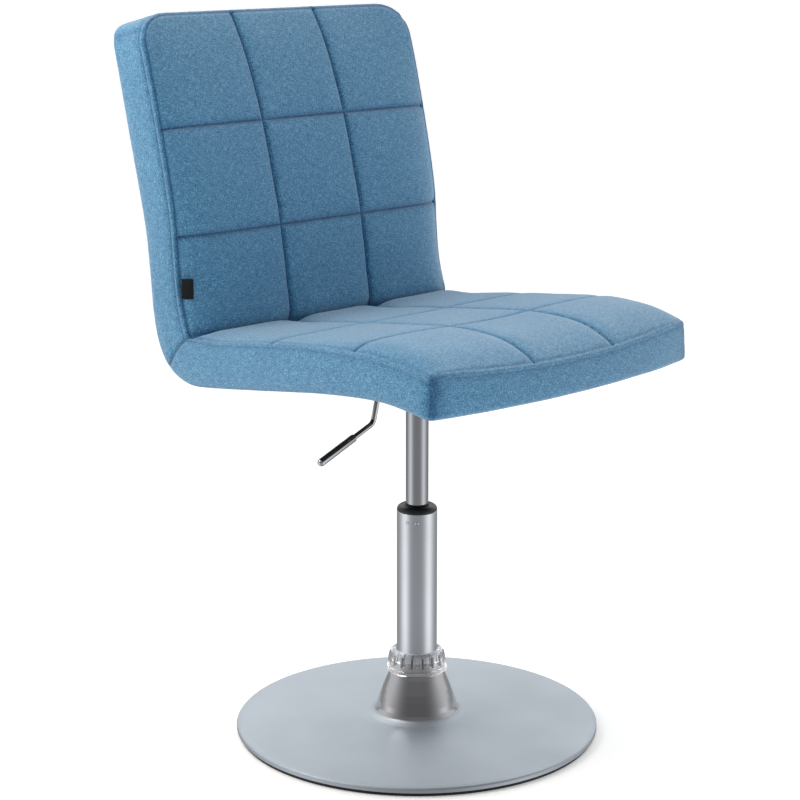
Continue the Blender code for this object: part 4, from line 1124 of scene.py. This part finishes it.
dense.polygons.foreach_get("material_index", dm)
duv = np.zeros(npoly * 8)
dense.uv_layers["cloth"].data.foreach_get("uv", duv)
duv = duv.reshape(-1, 4, 2)
dense_seam_shade = np.zeros(nv, dtype=np.float32)
dense.attributes["seam_shade"].data.foreach_get("value", dense_seam_shade)


def take(name, which, mat):
    keep = np.isin(dm, which)
    f = dl[keep]
    used, inv = np.unique(f, return_inverse=True)
    me = bpy.data.meshes.new(name)
    me.from_pydata(dv[used].tolist(), [], inv.reshape(f.shape).tolist())
    me.update()
    u = me.uv_layers.new(name="cloth")
    u.data.foreach_set("uv", duv[keep].reshape(-1))
    deep = me.attributes.new("seam_shade", 'FLOAT', 'POINT')
    deep.data.foreach_set("value", dense_seam_shade[used])
    me.materials.append(mat)
    me.shade_smooth()
    return link(bpy.data.objects.new(name, me))


PIECES = {
    "back_quilt": ([P_BACK], ("back_panel", "back_foam"), 0.75),
    "seat_quilt": ([P_SEAT], ("seat_panel", "seat_foam"), 0.8),
    "top_border_cloth": ([P_TOP], ("top_border",), 0.6),
    "right_border_cloth": ([P_RIGHT], ("right_side_border",), 0.6),
    "left_border_cloth": ([P_LEFT], ("left_side_border",), 0.6),
    "front_border_cloth": ([P_FRONT], ("front_border",), 0.6),
    "rear_cloth": ([P_REAR, P_UNDER], ("rear_cover", "rear_wadding"), 0.5),
}
for name, (which, nodes, fill) in PIECES.items():
    ob = take(name, which, M_FABRIC)
    stands_for(ob, "seat", "blue_fabric", *nodes)
bpy.data.objects.remove(cover)
bpy.data.meshes.remove(full_me)


# ------------------------------------------------------------------ thread
def thread_material():
    mat, nt, bsdf = new_material("blue_thread")
    net = Net(nt)
    co = obj_coords(net)
    twist = net.noise(co, 2600.0, 2.0, 0.6)
    c = net.ramp(twist, [(0.3, (0.060, 0.150, 0.250)), (0.7, (0.150, 0.290, 0.420))])
    nt.links.new(c, bsdf.inputs["Base Color"])
    nt.links.new(net.range(twist, 0.3, 0.7, 0.55, 0.8), bsdf.inputs["Roughness"])
    nt.links.new(net.bump(twist, 0.5, 0.0001), bsdf.inputs["Normal"])
    return mat


M_THREAD = thread_material()


def stitches(name, line, normals, pitch=PITCH, length=0.0030, width=0.00042, closed=True, body="seat"):
    """Real stitches: one short thread after another, each dipping in at both
    ends, along a line on the cloth."""
    line = np.asarray(line)
    if closed:
        line = np.vstack([line, line[:1]])
        normals = np.vstack([normals, normals[:1]])
    s = np.r_[0.0, np.cumsum(np.linalg.norm(np.diff(line, axis=0), axis=1))]
    count = int(s[-1] / pitch)
    verts, faces = [], []
    sides = 6
    for c in range(count):
        mid = (c + 0.5) * s[-1] / count
        ts = np.array([-0.5, -0.42, -0.15, 0.15, 0.42, 0.5]) * length + mid
        drop = np.array([-0.00045, -0.00005, 0.00022, 0.00022, -0.00005, -0.00045])
        wid = np.array([0.45, 0.85, 1.0, 1.0, 0.85, 0.45]) * width
        p = np.stack([np.interp(ts, s, line[:, k]) for k in range(3)], axis=1)
        n = np.stack([np.interp(ts, s, normals[:, k]) for k in range(3)], axis=1)
        n /= np.linalg.norm(n, axis=1)[:, None]
        t = np.gradient(p, axis=0)
        t /= np.linalg.norm(t, axis=1)[:, None]
        b = np.cross(t, n)
        base = len(verts)
        for k in range(6):
            q = p[k] + n[k] * drop[k]
            for a in range(sides):
                ang = 2 * math.pi * a / sides
                verts.append(q + (b[k] * math.cos(ang) + n[k] * math.sin(ang)) * wid[k])
        for k in range(5):
            for a in range(sides):
                m = (a + 1) % sides
                faces.append((base + k * sides + a, base + k * sides + m,
                              base + (k + 1) * sides + m, base + (k + 1) * sides + a))
        faces.append(tuple(base + a for a in reversed(range(sides))))
        faces.append(tuple(base + 5 * sides + a for a in range(sides)))
    ob = mesh_object(name, verts, faces, M_THREAD, True)
    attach(ob, body)
    return ob


fin_n = vertex_normals(final_v, quads)
row_ids = idx_b[near_row]
stitches("topstitching", final_v[row_ids], fin_n[row_ids])

# ------------------------------------------------------------------ tab
tab_lo, tab_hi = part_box("side_tab")


def woven_tab():
    """A blank folded tape sewn into the side seam: two layers and a fold."""
    a = Vector((tab_lo.x, 0, 0))
    width = 0.0138
    lean = math.radians(36)
    hinge = Vector((-0.2262, 0.1676, 0.5632))
    direction = Vector((math.cos(lean), -math.sin(lean), 0.0))
    side = Vector((direction.y, -direction.x, 0.0))
    half_h, thick = 0.01215, 0.00042
    n_u, n_h = 26, 22
    verts, faces = [], []
    loop = []
    for k in range(n_u + 1):
        u = k / n_u
        loop.append((u * width, thick * (1.0 + 0.5 * math.sin(u * math.pi))))
    for k in range(1, 6):
        a_ = math.pi / 2 - math.pi * k / 6
        loop.append((width + thick * math.cos(a_), thick * math.sin(a_)))
    for k in range(n_u, -1, -1):
        u = k / n_u
        loop.append((u * width, -thick * (1.0 + 0.5 * math.sin(u * math.pi))))
    m = len(loop)
    for j in range(n_h + 1):
        v = j / n_h
        z = (v - 0.5) * 2 * half_h
        lean = 0.0006 * math.sin(v * 3.0) * 1.0
        for (u, w) in loop:
            edge = 0.00010 * math.sin(u * 5200) if 0.002 < u < width else 0.0
            curl = 0.0016 * (u / width) ** 2
            verts.append(hinge + direction * u + side * (w + edge - curl + lean * u / width)
                         + Vector((0, 0, z - 0.0009 * u / width)))
    for j in range(n_h):
        for k in range(m - 1):
            faces.append((j * m + k, j * m + k + 1, (j + 1) * m + k + 1, (j + 1) * m + k))
        faces.append((j * m + m - 1, j * m, (j + 1) * m, (j + 1) * m + m - 1))
    faces.append(tuple(reversed(range(m))))
    faces.append(tuple(range(n_h * m, (n_h + 1) * m)))
    return mesh_object("woven_tab", verts, faces, M_TAB, True, 50)


stands_for(woven_tab(), "seat", "black_cloth", "side_tab")

# ------------------------------------------------------------------ underside
def dust_sheet():
    """Thin black cloth stapled over the fabric's turned-in edges."""
    nx_, ny_ = 84, 84
    y_rear, y_front = 0.158, -0.214
    s_rear = REAR.nearest((0.156, 0.4502))
    s_front = REAR.nearest((-0.2130, 0.4725))
    verts, faces, uvs = [], [], []
    tans = {}
    for layer in (0, 1):
        for j in range(ny_ + 1):
            v = j / ny_
            s = s_rear + (s_front - s_rear) * v
            y, z = REAR.at(s)
            y2, z2 = REAR.at(s + 0.002)
            t = Vector((float(y2 - y), float(z2 - z))).normalized()
            up_n = Vector((-t.y, t.x))
            if up_n.y < 0:
                up_n = -up_n
            for i in range(nx_ + 1):
                u = i / nx_
                x = -0.2000 + 0.4000 * u
                e = min(u, 1 - u) * 0.400
                f = min(v, 1 - v) * abs(s_front - s_rear)
                edge = min(e, f)
                k = min(1.0, max(0.0, (edge - 0.010) / 0.016))
                k = k * k * (3 - 2 * k)
                wave = 0.0005 * math.sin(x * 95 + 1.3) * math.sin(v * 23) * (1 - k) \
                    + 0.0003 * noise.noise(Vector((x * 30, v * 14, 3.1)))
                gap = -0.0010 + k * 0.0038 + wave * (1.0 if k < 0.9 else 0.4)
                # folded hem
                gap -= 0.0004 if edge < 0.009 else 0.0
                off = gap + (0.0004 if layer else 0.0)
                verts.append((x, float(y) + up_n.x * off, float(z) + up_n.y * off))
    w = nx_ + 1
    cnt = w * (ny_ + 1)
    for j in range(ny_):
        for i in range(nx_):
            a = j * w + i
            faces.append((a, a + 1, a + w + 1, a + w))
            b = cnt + a
            faces.append((b, b + w, b + w + 1, b + 1))
    rim = [i for i in range(w)] + [j * w + nx_ for j in range(1, ny_ + 1)] \
        + [ny_ * w + i for i in range(nx_ - 1, -1, -1)] + [j * w for j in range(ny_ - 1, 0, -1)]
    for k in range(len(rim)):
        a, b = rim[k], rim[(k + 1) % len(rim)]
        faces.append((a, cnt + a, cnt + b, b))
    ob = mesh_object("dust_cloth", verts, faces, M_DUST, True)
    bm = bmesh.new()
    bm.from_mesh(ob.data)
    bmesh.ops.recalc_face_normals(bm, faces=bm.faces)
    bm.to_mesh(ob.data)
    bm.free()
    return ob


stands_for(dust_sheet(), "seat", "black_cloth", "dust_cover")


def staples():
    """Wire staples through the dust cloth's hem, about 30 mm apart."""
    spots = []
    s_rear = REAR.nearest((0.156, 0.4502))
    s_front = REAR.nearest((-0.2130, 0.4725))
    for i in range(13):
        x = -0.190 + 0.380 * i / 12
        spots += [(x, s_rear - 0.0055 * -1, 0.0), (x, s_front - 0.0055, 0.0)]
    for j in range(1, 12):
        s = s_rear + (s_front - s_rear) * j / 12
        spots += [(-0.1945, s, 1.0), (0.1945, s, 1.0)]
    verts, faces = [], []
    for (x, s, turn) in spots:
        y, z = REAR.at(s)
        y2, z2 = REAR.at(s + 0.002)
        t = Vector((0.0, float(y2 - y), float(z2 - z))).normalized()
        down = Vector((0.0, t.z, -t.y))
        if down.z > 0:
            down = -down
        xaxis = t if turn else Vector((1, 0, 0))
        yaxis = down.cross(xaxis)
        c = Vector((x, float(y), float(z))) + down * 0.00175
        path = []
        for k in range(5):
            path.append((-0.0050 + 0.0006 * (k / 4) ** 2 * 0, -0.0022 + 0.0022 * k / 4))
        pts = [(-0.0050, -0.0024), (-0.0050, -0.0008), (-0.0047, -0.0002), (-0.0040, 0.0),
               (0.0, 0.00012), (0.0040, 0.0), (0.0047, -0.0002), (0.0050, -0.0008), (0.0050, -0.0024)]
        base = len(verts)
        for (u, h) in pts:
            for (dy, dh) in ((-0.00055, -0.0003), (0.00055, -0.0003), (0.00055, 0.0003), (-0.00055, 0.0003)):
                verts.append(c + xaxis * (u + (dh if abs(u) >= 0.0047 and h < -0.0001 else 0) * (1 if u > 0 else -1))
                             + yaxis * dy + down * (h + (dh if not (abs(u) >= 0.0047 and h < -0.0001) else 0)))
        for k in range(len(pts) - 1):
            for a in range(4):
                m = (a + 1) % 4
                faces.append((base + k * 4 + a, base + k * 4 + m, base + (k + 1) * 4 + m, base + (k + 1) * 4 + a))
        faces.append(tuple(base + a for a in (3, 2, 1, 0)))
        faces.append(tuple(base + (len(pts) - 1) * 4 + a for a in range(4)))
    return mesh_object("staples", verts, faces, M_STEEL, True, 40)


st_ob = staples()
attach(st_ob, "seat")

# ------------------------------------------------------------------ CAD nodes
KEEP = {
    "ballast_plate": M_IRON, "hub_socket": M_STEEL, "collar_ring": M_CLEAR, "column_tube": M_TUBE,
    "base_disc": M_DISC, "floor_pad": M_RUBBER, "guide_bush": M_BLACK, "gas_cylinder": M_ROD,
    "lower_race": M_STEEL, "upper_race": M_STEEL, "ball_cage": M_BLACK, "piston_rod": M_STEEL,
    "rod_clip": M_STEEL, "rubber_bumper": M_RUBBER, "piston_head": M_STEEL, "rod_guide": M_BLACK,
    "seat_plate": M_BLACKSTEEL, "lever_channel": M_BLACKSTEEL, "taper_socket": M_BLACKSTEEL,
    "pivot_pin": M_STEEL, "release_pin": M_STEEL, "lever_rod": M_LEVER, "lever_grip": M_LEVER,
    "seat_shell": M_WOOD, "back_foam": M_FOAM, "seat_foam": M_FOAM, "rear_wadding": M_FOAM,
    "dust_cover": M_DUST, "side_tab": M_TAB,
}
for name, ob in NODES.items():
    mat = KEEP.get(name)
    if mat is None:
        if name.startswith(("hub_screw", "seat_screw", "tee_nut")):
            mat = M_STEEL
        elif name.endswith(("border", "panel", "cover")):
            mat = M_FABRIC
        else:
            mat = M_STEEL
    give(ob, mat)

# ------------------------------------------------------------------ stage
def stage_material():
    mat, nt, bsdf = new_material("paper_floor")
    net = Net(nt)
    co = obj_coords(net)
    n1 = net.noise(co, 2.0, 2.0, 0.5)
    c = net.ramp(n1, [(0.3, (0.965, 0.965, 0.965)), (0.7, (0.98, 0.98, 0.98))])
    nt.links.new(c, bsdf.inputs["Base Color"])
    bsdf.inputs["Roughness"].default_value = 0.9
    bsdf.inputs["Specular IOR Level"].default_value = 0.1
    bsdf.inputs["Emission Color"].default_value = (1.0, 1.0, 1.0, 1.0)
    bsdf.inputs["Emission Strength"].default_value = 0.24      # the paper is lit from behind
    # the paper has one printed side: from underneath it is left out, so the chair's underside shows
    out = next(n for n in nt.nodes if n.type == 'OUTPUT_MATERIAL')
    side = net.node("ShaderNodeMixShader")
    nt.links.new(net.node("ShaderNodeNewGeometry").outputs["Backfacing"], side.inputs[0])
    nt.links.new(bsdf.outputs[0], side.inputs[1])
    nt.links.new(net.node("ShaderNodeBsdfTransparent").outputs[0], side.inputs[2])
    nt.links.new(side.outputs[0], out.inputs["Surface"])
    return mat


floor_v = [(-40, -40, 0), (40, -40, 0), (40, 40, 0), (-40, 40, 0)]
floor = mesh_object("floor", floor_v, [(0, 1, 2, 3)], stage_material(), False)
for ob in (tube, ring_ob, rib_ob):
    ob.visible_glossy = False     # the satin plate shows no image of the column
floor.visible_glossy = False      # chrome reflects the studio, not the paper

world = bpy.data.worlds.new("studio")
bpy.context.scene.world = world
world.use_nodes = True
wnt = world.node_tree
for n in list(wnt.nodes):
    wnt.nodes.remove(n)
wnet = Net(wnt)
wout = wnet.node("ShaderNodeOutputWorld")
bg = wnet.node("ShaderNodeBackground")
wdir = wnet.node("ShaderNodeTexCoord").outputs["Generated"]
flat = wnet.node("ShaderNodeVectorMath", operation='MULTIPLY')
wnet.put(flat.inputs[0], wdir)
flat.inputs[1].default_value = (1.0, 1.0, 0.0)
flat_n = wnet.node("ShaderNodeVectorMath", operation='NORMALIZE')
wnet.put(flat_n.inputs[0], flat.outputs[0])
toward = wnet.node("ShaderNodeVectorMath", operation='DOT_PRODUCT')
wnet.put(toward.inputs[0], flat_n.outputs[0])
toward.inputs[1].default_value = (-0.72, -0.69, 0.0)     # the unlit side of the studio
q = toward.outputs["Value"]
wsep = wnet.node("ShaderNodeSeparateXYZ")
wnet.put(wsep.inputs[0], wdir)


def ease(v, a, b, c, d):
    n = wnet.node("ShaderNodeMapRange", interpolation_type='SMOOTHSTEP')
    wnet.put(n.inputs[0], v)
    for i, x in enumerate((a, b, c, d)):
        n.inputs[i + 1].default_value = x
    return n.outputs[0]


# below eye level: two bright soft boxes on both sides of a dark room, as chrome shows them
half = wnet.math('MULTIPLY_ADD', q, 0.5, 0.5)
lobes = wnet.node("ShaderNodeValToRGB")
wnet.put(lobes.inputs[0], half)
lobes.color_ramp.interpolation = 'B_SPLINE'
stops = [(0.0, 0.26), (0.10, 0.27), (0.30, 0.34), (0.45, 0.62), (0.60, 1.0), (0.72, 1.0), (0.83, 0.60),
         (0.92, 0.32), (1.0, 0.29)]
el = lobes.color_ramp.elements
while len(el) > 1:
    el.remove(el[-1])
el[0].position, el[0].color = stops[0][0], (stops[0][1],) * 3 + (1.0,)
for at_, v_ in stops[1:]:
    e_ = el.new(at_)
    e_.color = (v_, v_, v_, 1.0)
low_room = wnet.math('MULTIPLY', lobes.outputs[0], 1.42)
low_sky = ease(q, -0.2, 0.95, 0.82, 0.16)
high_sky = ease(q, -0.6, 0.30, 1.55, 0.27)
rise = ease(wsep.outputs[2], 0.25, 0.70, 0.0, 1.0)
level = wnet.math('ADD', wnet.math('MULTIPLY', low_sky, wnet.math('SUBTRACT', 1.0, rise)),
                  wnet.math('MULTIPLY', high_sky, rise))
under = ease(wsep.outputs[2], -0.04, 0.10, 1.0, 0.0)
level = wnet.math('ADD', wnet.math('MULTIPLY', low_room, under),
                  wnet.math('MULTIPLY', level, wnet.math('SUBTRACT', 1.0, under)))
bg.inputs["Color"].default_value = (1.0, 1.0, 1.0, 1.0)
wnt.links.new(level, bg.inputs["Strength"])
# what the eye sees past the floor's far edge is the same plain white
plain = wnet.node("ShaderNodeBackground")
plain.inputs["Color"].default_value = (1.0, 1.0, 1.0, 1.0)
plain.inputs["Strength"].default_value = 1.0
seen = wnet.node("ShaderNodeMixShader")
wnt.links.new(wnet.node("ShaderNodeLightPath").outputs["Is Camera Ray"], seen.inputs[0])
wnt.links.new(bg.outputs[0], seen.inputs[1])
wnt.links.new(plain.outputs[0], seen.inputs[2])
wnt.links.new(seen.outputs[0], wout.inputs[0])


def area(name, at, to, size, power, colour=(1.0, 1.0, 1.0), spread=180):
    data = bpy.data.lights.new(name, 'AREA')
    data.shape = 'RECTANGLE'
    data.size, data.size_y = size
    data.energy = power
    data.color = colour
    data.spread = math.radians(spread)
    ob = link(bpy.data.objects.new(name, data))
    ob.location = at
    ob.rotation_mode = 'QUATERNION'
    ob.rotation_quaternion = (Vector(to) - Vector(at)).to_track_quat('-Z', 'Y')
    return ob


area("key_left", (-1.00, 0.60, 1.60), (-0.15, 0.20, 0.80), (0.6, 0.8), 13.5, (1.0, 0.958, 0.890))
area("top_soft", (-0.15, 0.95, 2.6), (0, 0.1, 0.4), (1.4, 1.4), 6.0)
area("fill_right", (2.2, 0.1, 1.2), (0, 0, 0.5), (0.9, 1.6), 3.0)
fill = area("fill_front", (0.1, -2.8, 1.5), (0, 0, 0.6), (1.8, 1.6), 10.0)
fill.visible_glossy = False

bpy.context.scene.view_settings.view_transform = 'Standard'
bpy.context.scene.view_settings.look = 'None'
